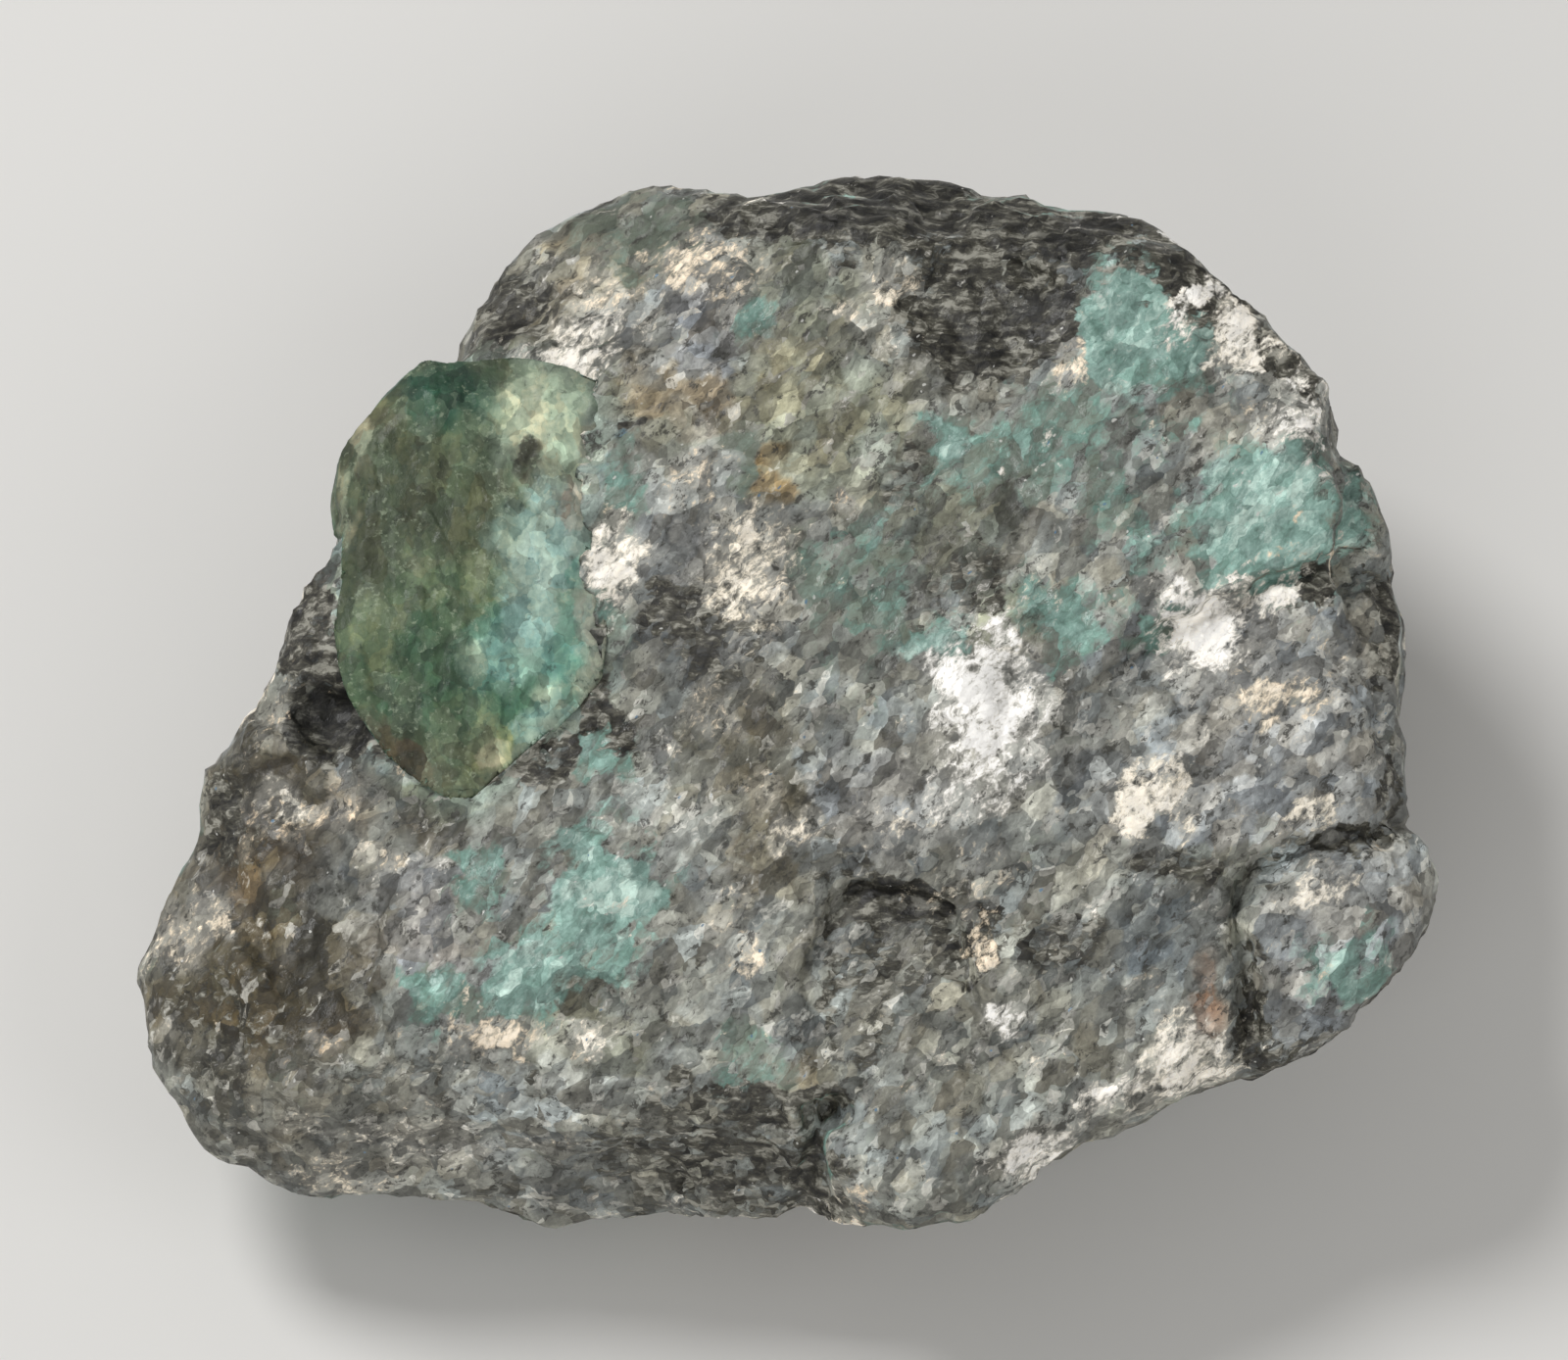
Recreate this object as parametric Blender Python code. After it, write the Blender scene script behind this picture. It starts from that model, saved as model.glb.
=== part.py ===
"""A rough emerald: one large green crystal set in a loose lump of quartz, feldspar and mica schist.

The lump lies on a small flat spot, with its broad broken face turned up and a little forward.
Lengths are millimetres here and become metres in the meshes. Places on the broken face are written
as (across, along): across runs to +X, along climbs the face, and both are seen square on from a
line that rises at VIEW_RISE above the table in front of the stone. The third face coordinate,
out, points back along that line.
"""

import math

import bmesh
import bpy
import numpy as np
from mathutils import Vector, noise

MM = 0.001

# Driving dimensions
VIEW_RISE = math.radians(62.0)
FACE_ORIGIN = np.array((-0.5, -3.7, 46.0))
FACE_CENTRE = np.array((0.0, -2.0))
FACE_FALL = 0.315
FACE_DOME = 2.5
FACE_RADIUS = 70.0
EDGE_ROUND = 1.2
MIDDLE = np.array((-0.5, 2.3, 27.0))
CRYSTAL_DEPTH = 19.0
CRYSTAL_STAND = -0.8
CRYSTAL_TILT = 0.02
CRYSTAL_FINE_SHARE = 0.4
CRYSTAL_MARGIN = 6.0
SOCKET_GAP = 0.3
SPHERE_STEPS = 8
WHOLE_FACES = 8200

ACROSS = np.array((1.0, 0.0, 0.0))
ALONG = np.array((0.0, math.sin(VIEW_RISE), math.cos(VIEW_RISE)))
OUT = np.array((0.0, -math.cos(VIEW_RISE), math.sin(VIEW_RISE)))

# The stone's outline on the broken face, anticlockwise from the upper right corner
OUTLINE = [
    (63, 33), (59.5, 37), (55.5, 41.5), (51.5, 45), (47.5, 48.5), (44, 51), (39, 54), (33.5, 54.5),
    (27.5, 55), (22.5, 56.5), (15, 58), (8, 58), (3.5, 57.5), (-0.5, 56), (-5, 56), (-9.5, 57),
    (-14, 58), (-17, 57.5), (-20, 56), (-24, 53.5), (-28.5, 51.5), (-31, 48.5), (-33, 47),
    (-34, 44), (-36, 41), (-36.5, 37.5), (-38.5, 36), (-41, 36.5), (-43.5, 34.5), (-48, 29.5),
    (-50.5, 26), (-51, 21.5), (-50, 19), (-50.5, 16.5), (-53, 13.5), (-55.5, 10), (-57, 3),
    (-60.5, -3), (-63.5, -7.5), (-67, -11.5), (-67, -17.5), (-70.5, -23), (-72.5, -29),
    (-74.5, -33), (-73, -37.5), (-73, -42.5), (-70.5, -46.5), (-68.5, -51), (-66, -54), (-62, -55),
    (-57.5, -57.5), (-54, -59.5), (-48.5, -58.5), (-40.5, -59), (-34, -60.5), (-29, -62.5),
    (-22.5, -62.5), (-13.5, -61.5), (-4.5, -61), (2, -60.5), (4.5, -62), (8, -61), (14, -61.5),
    (20.5, -60), (27.5, -56), (33.5, -51.5), (40.5, -48), (48.5, -44.5), (51.5, -43.5), (56, -44),
    (61.5, -40.5), (67, -36.5), (71.5, -31), (74.5, -25.5), (75.5, -21.5), (74, -19), (71, -17),
    (71, -11), (69.5, -6.5), (70, -2.5), (71, 5), (69.5, 11.5), (69.5, 16.5), (68, 21.5),
    (66.5, 24.5), (63.5, 25.5), (63, 29.5),
]

# The large crystal's outline; on its left it runs out past the stone's own edge
CRYSTAL_OUTLINE = [
    (-21.5, 34.3), (-21.8, 29), (-22.6, 23.5), (-22.2, 18), (-22.6, 11.5), (-20.4, 6), (-21.2, 0.2),
    (-24.5, -3.7), (-29, -7.5), (-33.2, -11.2), (-35.6, -13.3), (-38.6, -13.2), (-41.6, -11.4),
    (-45.4, -8), (-48.8, -3), (-50.4, 0.5), (-51.2, 6), (-50.4, 12), (-50.3, 16.5), (-62, 19), (-62, 31),
    (-52, 41), (-42.5, 43), (-40.5, 36.2), (-36, 36.3), (-31, 36.8), (-26, 35.9),
]

# The crystal's narrow faces: a point where each starts, the direction it falls in, and its fall
CRYSTAL_BEVELS = [
    ((-44.5, 30.0), (-0.74, 0.67), 0.75),
    ((-48.0, 15.0), (-1.0, 0.1), 0.85),
    ((-30.0, 32.0), (0.05, 1.0), 0.6),
    ((-44.8, -5.0), (-0.8, -0.6), 0.6),
    ((-37.0, -10.6), (-0.05, -1.0), 0.55),
    ((-30.0, -7.4), (0.66, -0.75), 0.8),
    ((-30.0, 4.0), (0.12, -1.0), 0.06),
]

# Broad faces: a point on the fold where each starts, the direction it falls in, and its fall per
# millimetre beyond the broken face's own
FOLDS = {
    "far_slope": ((15.0, 50.5), (0.05, 1.0), 1.75),
    "upper_left": ((-14.0, 39.5), (-0.47, 0.88), 0.62),
    "upper_right": ((53.5, 42.5), (0.72, 0.69), 1.35),
    "left_slope": ((-52.0, -5.0), (-1.0, 0.12), 0.62),
    "lower_left": ((-62.0, -40.0), (-0.78, -0.62), 0.95),
    "lower_right": ((30.0, -50.5), (0.5, -0.87), 0.55),
    "right_side": ((66.0, 0.0), (1.0, 0.0), 0.75),
    "centre_tilt": ((-4.0, 2.0), (-0.88, -0.48), 0.04),
}
FOLD_SHARPNESS = 1.1

# The wall at the near left: the edge that it falls from, and its fall per millimetre
WALL_EDGE = [
    (-75, -41), (-56, -44.2), (-37, -44.8), (-15.5, -45.6), (-3.5, -47.8), (4.6, -50.2), (6, -54.5),
    (13, -59), (22, -64),
]
WALL_FALL = 1.15

# Ledges: the line of the broken edge with the low side on its right, the drop, and how far beyond
# the edge the ground takes to come up again
LEDGES = {
    "crystal_foot": ([(-38, -15), (-28, -7.5), (-20.5, 0), (-19.5, 6), (-20, 12)], 1.2, 7.0),
    "plateau_front": ([(32, -2), (40, 4), (49.5, 9.6), (56, 12.3), (63.5, 14), (80, 15)], 3.6, 20.0),
    "plateau_side": ([(63.6, 2), (63.6, 14), (63.4, 24), (63, 34), (60, 42)], 6.0, 12.0),
    "schist_lip": ([(-9, 48.5), (-6, 49.6), (1, 49.8), (7, 49.4), (12, 47.5), (14, 44)], 1.5, 9.0),
    "arch": (
        [(2.5, -44), (3, -33), (5, -27), (8, -22.8), (13, -23.8), (19.5, -27.4), (22.2, -33), (23, -44)],
        2.6, 14.0,
    ),
    "centre_fold": ([(-4, -28), (-0.5, -19.5), (2.5, -8), (4, 2)], 0.8, 16.0),
    "olive_blades": ([(-4, 21), (3, 22), (8.5, 20.5), (13, 25), (14.5, 33), (13, 38)], 1.0, 8.0),
    "wall_step": ([(-58, -47), (-46, -51), (-32, -51.5), (-18, -53), (-6, -52)], 1.3, 6.0),
    "quartz_edge": ([(-34, -12), (-41, -20), (-46, -27), (-46.5, -36), (-43, -46)], 1.4, 14.0),
}
LEDGE_RAMP = 0.45
LEDGE_FADE = 0.3
GROOVE_FADE = 0.15

# Wander of all those lines, so that they break as rock does: length of a wave and its reach
WANDERS = ((9.0, 1.5), (4.0, 0.8))

# Grooves and cracks: the line, its depth and its half width
GROOVES = {
    "knob_groove": (
        [
            (76, -15), (66, -18.3), (59.5, -19.3), (54, -22.3), (52.3, -26.5), (53.6, -31), (53, -38),
            (52, -48),
        ],
        3.2, 1.2,
    ),
    "knob_valley": ([(58, -23), (45, -21), (32, -20)], 1.1, 3.0),
    "wall_edge": ([(-58, -43), (-37, -44.4), (-15.5, -45.4), (-4, -48), (4, -49.8)], 0.7, 0.7),
    "front_crack": ([(5, -47), (3.6, -53), (1.8, -66)], 2.6, 0.9),
    "left_crack": ([(-52, -42), (-45, -52), (-37, -63)], 1.3, 0.7),
    "lobe_left": ([(-16, 47), (-14.5, 41), (-15.5, 36)], 0.9, 1.4),
    "lobe_right": ([(-5, 45.5), (-6.8, 40), (-8.5, 36)], 0.8, 1.3),
    "left_furrow": ([(-68, -14), (-64, -20), (-62, -27), (-58, -34)], 1.6, 2.6),
    "wall_furrow": ([(-30, -54), (-18, -57.5), (-4, -57.5)], 1.8, 1.6),
    "slope_furrow": ([(12, 52), (24, 52.5), (36, 50.5)], 1.0, 1.2),
}

# Pits and swellings: centre, half sizes, depth (a swelling's is negative)
PITS = {
    "crystal_pit": ((-51.3, -4.8), (4.6, 4.2), 4.6),
    "mica_hollow": ((23.5, 42.5), (9.5, 7.5), 3.4),
    "mica_hole": ((28.4, 45.0), (1.9, 1.9), 2.8),
    "front_notch": ((5.2, -49.6), (2.9, 1.9), 3.4),
    "left_hollow": ((-56.0, -14.0), (6.0, 4.0), 1.5),
    "feldspar_swell": ((21.5, -3.0), (5.0, 9.0), -1.3),
    "knob_swell": ((64.0, -31.0), (10.0, 11.0), -1.8),
    "cluster_swell": ((-27.0, -28.0), (11.0, 8.0), -1.2),
    "right_swell": ((58.0, -3.0), (9.0, 8.0), -1.2),
    "left_knuckle": ((-66.5, -33.0), (7.0, 9.0), -1.8),
}

# Fracture faces that make the sides: the way each looks, as degrees round from +X and degrees down,
# and its distance from the middle as a share of the rim's reach that way
SIDE_FRACTURES = [
    (2, 10, 0.99), (30, 22, 0.98), (58, 4, 0.97), (92, 14, 0.99), (124, 3, 0.98), (150, 20, 0.97),
    (181, 8, 0.99), (208, 20, 0.98), (236, 36, 0.98), (266, 36, 0.98), (292, 46, 0.97), (320, 38, 0.97),
    (342, 26, 0.98),
]
# Fracture faces that run down to the foot: the way each looks, and where it meets the table
FOOT_FRACTURES = [
    (15, 46, 39), (48, 38, 42), (80, 44, 33), (112, 40, 36), (150, 50, 35), (176, 40, 42), (205, 42, 44),
    (240, 42, 37), (272, 46, 33), (305, 50, 30), (335, 44, 37),
]
FRACTURE_SECTOR = math.radians(24)
FRACTURE_SHARPNESS = 45
BASE_SINK = 0.9
RIM_HOLD = 0.2
RIM_WIDTH = 0.05
RIM_LUMP_SHARE = 0.35

# Broken surface: size of the lumps and how far they stand out, coarse to fine
COARSE_LUMPS = ((24.0, 1.5),)
FINE_LUMPS = ((11.0, 0.9), (4.5, 0.35))
UNDER_LUMPS = ((30.0, 2.4), (13.0, 1.4), (6.0, 0.5))


def smoothstep(low, high, values):
    share = np.clip((values - low) / (high - low), 0.0, 1.0)
    return share * share * (3.0 - 2.0 * share)


def line_distance(points, line):
    """Distance to an open line, positive on its right, and the place along it from 0 to 1."""
    corners = np.array(line, float)
    spans = corners[1:] - corners[:-1]
    lengths = np.hypot(spans[:, 0], spans[:, 1])
    starts = np.concatenate([[0.0], np.cumsum(lengths)[:-1]]) / lengths.sum()
    best = np.full(len(points), np.inf)
    side = np.zeros(len(points))
    place = np.zeros(len(points))
    for corner, span, length, start in zip(corners[:-1], spans, lengths, starts):
        offset = points - corner
        share = np.clip(offset @ span / length**2, 0.0, 1.0)
        gap = offset - share[:, None] * span
        distance = np.hypot(gap[:, 0], gap[:, 1])
        nearer = distance < best
        turn = offset[:, 1] * span[0] - offset[:, 0] * span[1]
        best = np.where(nearer, distance, best)
        side = np.where(nearer, -np.sign(turn), side)
        place = np.where(nearer, start + share * length / lengths.sum(), place)
    return best * side, place


def ledge_drop(points, line, drop, reach):
    distance, place = line_distance(points, line)
    ends = smoothstep(0.0, LEDGE_FADE, place) * smoothstep(0.0, LEDGE_FADE, 1.0 - place)
    low = smoothstep(-LEDGE_RAMP, LEDGE_RAMP, distance) * np.exp(-np.maximum(distance, 0.0) / reach)
    return drop * low * ends


def groove_drop(points, line, depth, half_width):
    distance, place = line_distance(points, line)
    ends = smoothstep(0.0, GROOVE_FADE, place) * smoothstep(0.0, GROOVE_FADE, 1.0 - place)
    return depth * np.exp(-((distance / half_width) ** 2)) * ends


def pit_drop(points, centre, half_sizes, depth):
    offset = (points - np.array(centre)) / np.array(half_sizes)
    return depth * np.exp(-((offset**2).sum(axis=1) ** 1.3))


def broad_faces(points):
    """How far out the broken face and the slopes round it lie, before any ledge."""
    across, along = points.T
    from_middle = ((across - FACE_CENTRE[0]) ** 2 + (along - FACE_CENTRE[1]) ** 2) / FACE_RADIUS**2
    face = -FACE_FALL * along - FACE_DOME * from_middle
    edge_across, edge_along = np.array(WALL_EDGE, float).T
    drops = [np.zeros(len(points)), WALL_FALL * (np.interp(across, edge_across, edge_along) - along)]
    for start, direction, fall in FOLDS.values():
        heading = np.array(direction) / np.hypot(*direction)
        drops.append(fall * ((points - np.array(start)) @ heading))
    stack = np.array(drops) * FOLD_SHARPNESS
    top = stack.max(axis=0)
    return face - (top + np.log(np.exp(stack - top).sum(axis=0))) / FOLD_SHARPNESS


def wandered(points):
    """The places moved about a little along the face, in waves of a few sizes."""
    moved = points.copy()
    for size, amount in WANDERS:
        for at, (across, along) in enumerate(points):
            push = noise.noise_vector(Vector((across / size, along / size, size)))
            moved[at] += (push.x * amount, push.y * amount)
    return moved


def matrix_face(points):
    height = broad_faces(points)
    points = wandered(points)
    for line, drop, reach in LEDGES.values():
        height -= ledge_drop(points, line, drop, reach)
    for line, depth, half_width in GROOVES.values():
        height -= groove_drop(points, line, depth, half_width)
    for centre, half_sizes, depth in PITS.values():
        height -= pit_drop(points, centre, half_sizes, depth)
    return height


def crystal_face(points):
    """The crystal's one wide prism face and the narrow faces that round it off."""
    across, along = points.T
    wide = CRYSTAL_STAND - FACE_FALL * along + CRYSTAL_TILT * (across + 30.0)
    heights = [wide]
    for (start_across, start_along), direction, fall in CRYSTAL_BEVELS:
        heading = np.array(direction) / np.hypot(*direction)
        beyond = heading[0] * (across - start_across) + heading[1] * (along - start_along)
        heights.append(wide - fall * beyond)
    inside, _ = line_distance(points, CRYSTAL_OUTLINE + CRYSTAL_OUTLINE[:1])
    near = smoothstep(-CRYSTAL_MARGIN, -CRYSTAL_MARGIN / 3, inside)
    return np.array(heights).min(axis=0) * near + matrix_face(points) * (1.0 - near)


def outline_reach(angles):
    """Distance from the face's centre to the outline, in each direction."""
    corners = np.array(OUTLINE, float) - FACE_CENTRE
    starts, ends = corners, np.roll(corners, -1, axis=0)
    reach = np.zeros(len(angles))
    heading = np.stack([np.cos(angles), np.sin(angles)], axis=1)
    for start, end in zip(starts, ends):
        span = end - start
        cross = heading[:, 0] * span[1] - heading[:, 1] * span[0]
        safe = np.where(np.abs(cross) < 1e-9, 1e-9, cross)
        distance = (start[0] * span[1] - start[1] * span[0]) / safe
        share = (start[0] * heading[:, 1] - start[1] * heading[:, 0]) / safe
        hit = (distance > 0) & (share >= 0) & (share <= 1)
        reach = np.where(hit, np.maximum(reach, distance), reach)
    return reach


def lumps(places, sizes, seed):
    """Rounded and creased lumps of several sizes, about zero on average."""
    total = np.zeros(len(places))
    for index, (size, amount) in enumerate(sizes):
        shift = Vector((seed + 7.3 * index, 3.1 * seed, 11.7))
        for at, place in enumerate(places):
            spot = Vector(place) / size + shift
            total[at] += amount * (noise.noise(spot) - 0.35 * abs(noise.noise(spot * 1.9)) + 0.08)
    return total


def looking(compass, dip):
    bearing, slope = math.radians(compass), math.radians(dip)
    level = math.cos(slope)
    return np.array((math.cos(bearing) * level, math.sin(bearing) * level, -math.sin(slope)))


def fracture_planes(rim):
    """The flat faces below the rim: the way each looks, and its distance from the middle."""
    away = rim - MIDDLE
    bearings = np.arctan2(away[:, 1], away[:, 0])
    planes = [(looking(0, 90), MIDDLE[2] + BASE_SINK)]
    for compass, dip, share in SIDE_FRACTURES:
        near = np.cos(bearings - math.radians(compass)) > math.cos(FRACTURE_SECTOR)
        planes.append((looking(compass, dip), share * (away[near] @ looking(compass, dip)).max()))
    for compass, dip, foot in FOOT_FRACTURES:
        slope = math.radians(dip)
        planes.append((looking(compass, dip), foot * math.cos(slope) + MIDDLE[2] * math.sin(slope)))
    return planes


def underside(rims, under, planes):
    """Swings the points of the rim down round the middle, as under goes from 0 to 1."""
    away = rims - MIDDLE
    flat = np.hypot(away[:, 0], away[:, 1])
    rise = np.arctan2(away[:, 2], flat)
    rise += (-math.pi / 2 - rise) * under
    heading = away / flat[:, None] * np.cos(rise)[:, None]
    heading[:, 2] = np.sin(rise)
    nearness = np.zeros(len(rims))
    for facing, distance in planes:
        nearness += (np.maximum(heading @ facing, 1e-6) / distance) ** FRACTURE_SHARPNESS
    reach = nearness ** (-1.0 / FRACTURE_SHARPNESS)
    hold = 1.0 - smoothstep(0.0, RIM_HOLD, under)
    reach = reach * (1.0 - hold) + np.linalg.norm(away, axis=1) * hold
    return MIDDLE + heading * reach[:, None]


def face_points(angles, share):
    """Places on the broken face, from its centre where share is 0 to the rim where it is 1."""
    reach = outline_reach(angles) * share
    return FACE_CENTRE + np.stack([reach * np.cos(angles), reach * np.sin(angles)], axis=1)


def face_to_world(points, out):
    return FACE_ORIGIN + points[:, :1] * ACROSS + points[:, 1:] * ALONG + out[:, None] * OUT


def matrix_facing(points):
    """The way the broad faces look at each place, whatever breaks them up."""
    step = 0.5
    rise_across = (broad_faces(points + (step, 0.0)) - broad_faces(points - (step, 0.0))) / (2 * step)
    rise_along = (broad_faces(points + (0.0, step)) - broad_faces(points - (0.0, step))) / (2 * step)
    facing = OUT - rise_across[:, None] * ACROSS - rise_along[:, None] * ALONG
    return facing / np.linalg.norm(facing, axis=1)[:, None]


def crystal_facing(points):
    return np.tile(OUT, (len(points), 1))


def stone_mesh(name, face_of, facing_of, fine_share):
    """The whole stone with the given broken face, as a closed mesh."""
    mesh = bpy.data.meshes.new(name)
    ball = bmesh.new()
    bmesh.ops.create_icosphere(ball, subdivisions=SPHERE_STEPS, radius=1.0)
    ball.to_mesh(mesh)
    ball.free()
    directions = vertex_rows(mesh.vertices, "co")
    angles = np.arctan2(directions[:, 1], directions[:, 0])
    from_pole = np.arccos(np.clip(directions[:, 2], -1.0, 1.0)) / (math.pi / 2)

    rim_points = face_points(np.radians(np.arange(-180.0, 180.0)), 1.0)
    planes = fracture_planes(face_to_world(rim_points, face_of(rim_points) - EDGE_ROUND))
    share = np.minimum(from_pole, 1.0)
    points = face_points(angles, share)
    places = face_to_world(points, face_of(points) - EDGE_ROUND * smoothstep(0.94, 1.0, share))
    facing = facing_of(points)
    below = from_pole > 1.0
    under = from_pole[below] - 1.0
    places[below] = underside(places[below], under, planes)
    away = places[below] - MIDDLE
    turned = smoothstep(0.0, RIM_HOLD, under)[:, None]
    facing[below] = facing[below] * (1.0 - turned) + away / np.linalg.norm(away, axis=1)[:, None] * turned

    swell = lumps(places, COARSE_LUMPS, 2.0) + lumps(places, FINE_LUMPS, 3.0) * fine_share
    swell[below] += lumps(places[below], UNDER_LUMPS, 5.0) * turned[:, 0]
    swell *= smoothstep(0.0, 6.0, places[:, 2])
    swell *= 1.0 - (1.0 - RIM_LUMP_SHARE) * np.exp(-(((from_pole - 1.0) / RIM_WIDTH) ** 2))
    places += facing * swell[:, None]
    places[:, 2] = np.maximum(places[:, 2], 0.0)
    mesh.vertices.foreach_set("co", (places * MM).ravel())
    mesh.update()
    dense = bpy.data.objects.new(name, mesh)
    bpy.context.scene.collection.objects.link(dense)
    thin_out(dense, WHOLE_FACES)
    return dense


def vertex_rows(vertices, attribute):
    rows = np.empty(len(vertices) * 3)
    vertices.foreach_get(attribute, rows)
    return rows.reshape(-1, 3)


def apply_modifiers(thing):
    """Replaces the object's mesh with what its modifiers make of it."""
    graph = bpy.context.evaluated_depsgraph_get()
    made = bpy.data.meshes.new_from_object(thing.evaluated_get(graph))
    thing.modifiers.clear()
    thing.data = made


def thin_out(thing, faces):
    collapse = thing.modifiers.new("thin_out", "DECIMATE")
    collapse.ratio = faces / len(thing.data.polygons)
    apply_modifiers(thing)


def socket_prism(name, shrink):
    """A straight prism on the crystal's outline, from inside the stone to clear of its face."""
    corners = np.array(CRYSTAL_OUTLINE, float)
    following = np.roll(corners, -1, axis=0)
    before = np.roll(corners, 1, axis=0)
    tangent = (following - before) / np.linalg.norm(following - before, axis=1)[:, None]
    corners = corners + np.stack([tangent[:, 1], -tangent[:, 0]], axis=1) * shrink
    form = bmesh.new()
    low = -CRYSTAL_DEPTH + shrink
    bottom = []
    for place in face_to_world(corners, np.full(len(corners), low)):
        bottom.append(form.verts.new(place * MM))
    floor = form.faces.new(bottom)
    raised = bmesh.ops.extrude_face_region(form, geom=[floor])
    top = [item for item in raised["geom"] if isinstance(item, bmesh.types.BMVert)]
    bmesh.ops.translate(form, verts=top, vec=Vector(OUT * (CRYSTAL_DEPTH + 40.0) * MM))
    bmesh.ops.recalc_face_normals(form, faces=form.faces)
    mesh = bpy.data.meshes.new(name)
    form.to_mesh(mesh)
    form.free()
    prism = bpy.data.objects.new(name, mesh)
    prism.hide_render = True
    prism.display_type = "WIRE"
    return prism


def cut(thing, cutter, operation):
    boolean = thing.modifiers.new(operation.lower(), "BOOLEAN")
    boolean.operation = operation
    boolean.solver = "EXACT"
    boolean.object = cutter


def rock_material(name, colour, roughness):
    material = bpy.data.materials.new(name)
    material.use_nodes = True
    shader = material.node_tree.nodes["Principled BSDF"]
    shader.inputs["Base Color"].default_value = (*colour, 1.0)
    shader.inputs["Roughness"].default_value = roughness
    shader.inputs["Metallic"].default_value = 0.0
    return material


def main():
    for old in list(bpy.data.objects):
        bpy.data.objects.remove(old, do_unlink=True)
    stone = bpy.data.collections.new("rough_emerald")
    cutters = bpy.data.collections.new("cutters")
    bpy.context.scene.collection.children.link(stone)
    bpy.context.scene.collection.children.link(cutters)

    socket = socket_prism("socket_cutter", -SOCKET_GAP / 2)
    crystal_form = socket_prism("crystal_cutter", SOCKET_GAP / 2)
    for cutter in (socket, crystal_form):
        cutters.objects.link(cutter)

    matrix = stone_mesh("matrix", matrix_face, matrix_facing, 1.0)
    cut(matrix, socket, "DIFFERENCE")
    matrix.data.materials.append(rock_material("host_rock", (0.25, 0.25, 0.23), 0.6))

    crystal = stone_mesh("large_emerald_crystal", crystal_face, crystal_facing, CRYSTAL_FINE_SHARE)
    cut(crystal, crystal_form, "INTERSECT")
    crystal.data.materials.append(rock_material("emerald", (0.12, 0.26, 0.19), 0.4))

    for thing in (matrix, crystal):
        bpy.context.scene.collection.objects.unlink(thing)
        stone.objects.link(thing)


main()
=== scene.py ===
"""The looks of a rough emerald: a large green crystal in quartz, feldspar and mica schist.

Two pieces are made from the frame's own surfaces, cut finer and broken into grains: the host rock
and the crystal. Minerals are laid out by named patches, in millimetres on the broken face, where
across runs to +X and along climbs the face, seen square on from the camera's side. Everything that
faces away from there gets its minerals from noise in the rock itself.

Lengths are in millimetres, but in metres for the floor, the lamps and the camera. The seed that a
noise is given keeps it apart from the others and makes it the same in every run.
"""

import math

import bmesh
import bpy
import numpy as np
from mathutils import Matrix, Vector
from mathutils.bvhtree import BVHTree


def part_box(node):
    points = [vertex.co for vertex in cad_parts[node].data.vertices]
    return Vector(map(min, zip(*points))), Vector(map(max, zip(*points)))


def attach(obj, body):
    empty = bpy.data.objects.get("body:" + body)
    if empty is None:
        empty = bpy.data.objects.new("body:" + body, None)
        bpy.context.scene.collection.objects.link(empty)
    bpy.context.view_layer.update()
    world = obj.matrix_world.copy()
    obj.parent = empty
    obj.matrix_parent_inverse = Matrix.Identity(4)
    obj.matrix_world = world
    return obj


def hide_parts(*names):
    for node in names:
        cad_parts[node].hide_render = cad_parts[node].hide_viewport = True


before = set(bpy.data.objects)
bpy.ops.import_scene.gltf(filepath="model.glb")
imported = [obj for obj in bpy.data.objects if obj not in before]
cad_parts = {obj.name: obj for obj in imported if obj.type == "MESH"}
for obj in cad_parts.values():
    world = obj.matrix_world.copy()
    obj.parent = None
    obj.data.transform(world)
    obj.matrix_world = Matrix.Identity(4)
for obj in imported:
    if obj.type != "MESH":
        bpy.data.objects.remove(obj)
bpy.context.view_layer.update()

MM = 0.001

# The broken face: how steeply it is looked down on, its middle, its directions, and how much it
# falls for each millimetre along
VIEW_RISE = math.radians(62.0)
FACE_ORIGIN = np.array((-0.5, -3.7, 46.0))
ACROSS = np.array((1.0, 0.0, 0.0))
ALONG = np.array((0.0, math.sin(VIEW_RISE), math.cos(VIEW_RISE)))
OUT = np.array((0.0, -math.cos(VIEW_RISE), math.sin(VIEW_RISE)))
FACE_FALL = 0.315

# How far below the broken face the fine mesh and the named patches reach
FINE_DEPTH = 9.0
PATCH_DEPTH = 38.0

# Fineness of the meshes: the longest edge on each, and how often edges are halved at most
TOP_EDGE = 0.87
SIDE_EDGE = 2.0
CRYSTAL_EDGE = 0.36
MOST_CUTS = 9

# How often the solids' facets are evened out, and how far at a time
SMOOTH_PASSES = 5
SMOOTH_SHARE = 0.5

# How the crystal closes the gap of its socket and lies level with the rock
SEAT_SPREAD = 0.5
SEAT_SINK = 0.7
SEAT_ACROSS = (-42.0, -27.0)
SEAT_ALONG = (35.0, 27.0)

# How grains of the rock lap over the crystal's edge
LAP_REACH = 2.6
LAP_INWARD = 1.3
LAP_UP = 0.22
LAP_ALONG = (-3.0, 5.0)

# Broken grains of the rock: their size, step from one to the next, slope and seed
ROCK_GRAINS = ((9.0, 0.3, 0.2, 30), (5.0, 0.4, 0.26, 31), (2.6, 0.3, 0.26, 32))

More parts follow.
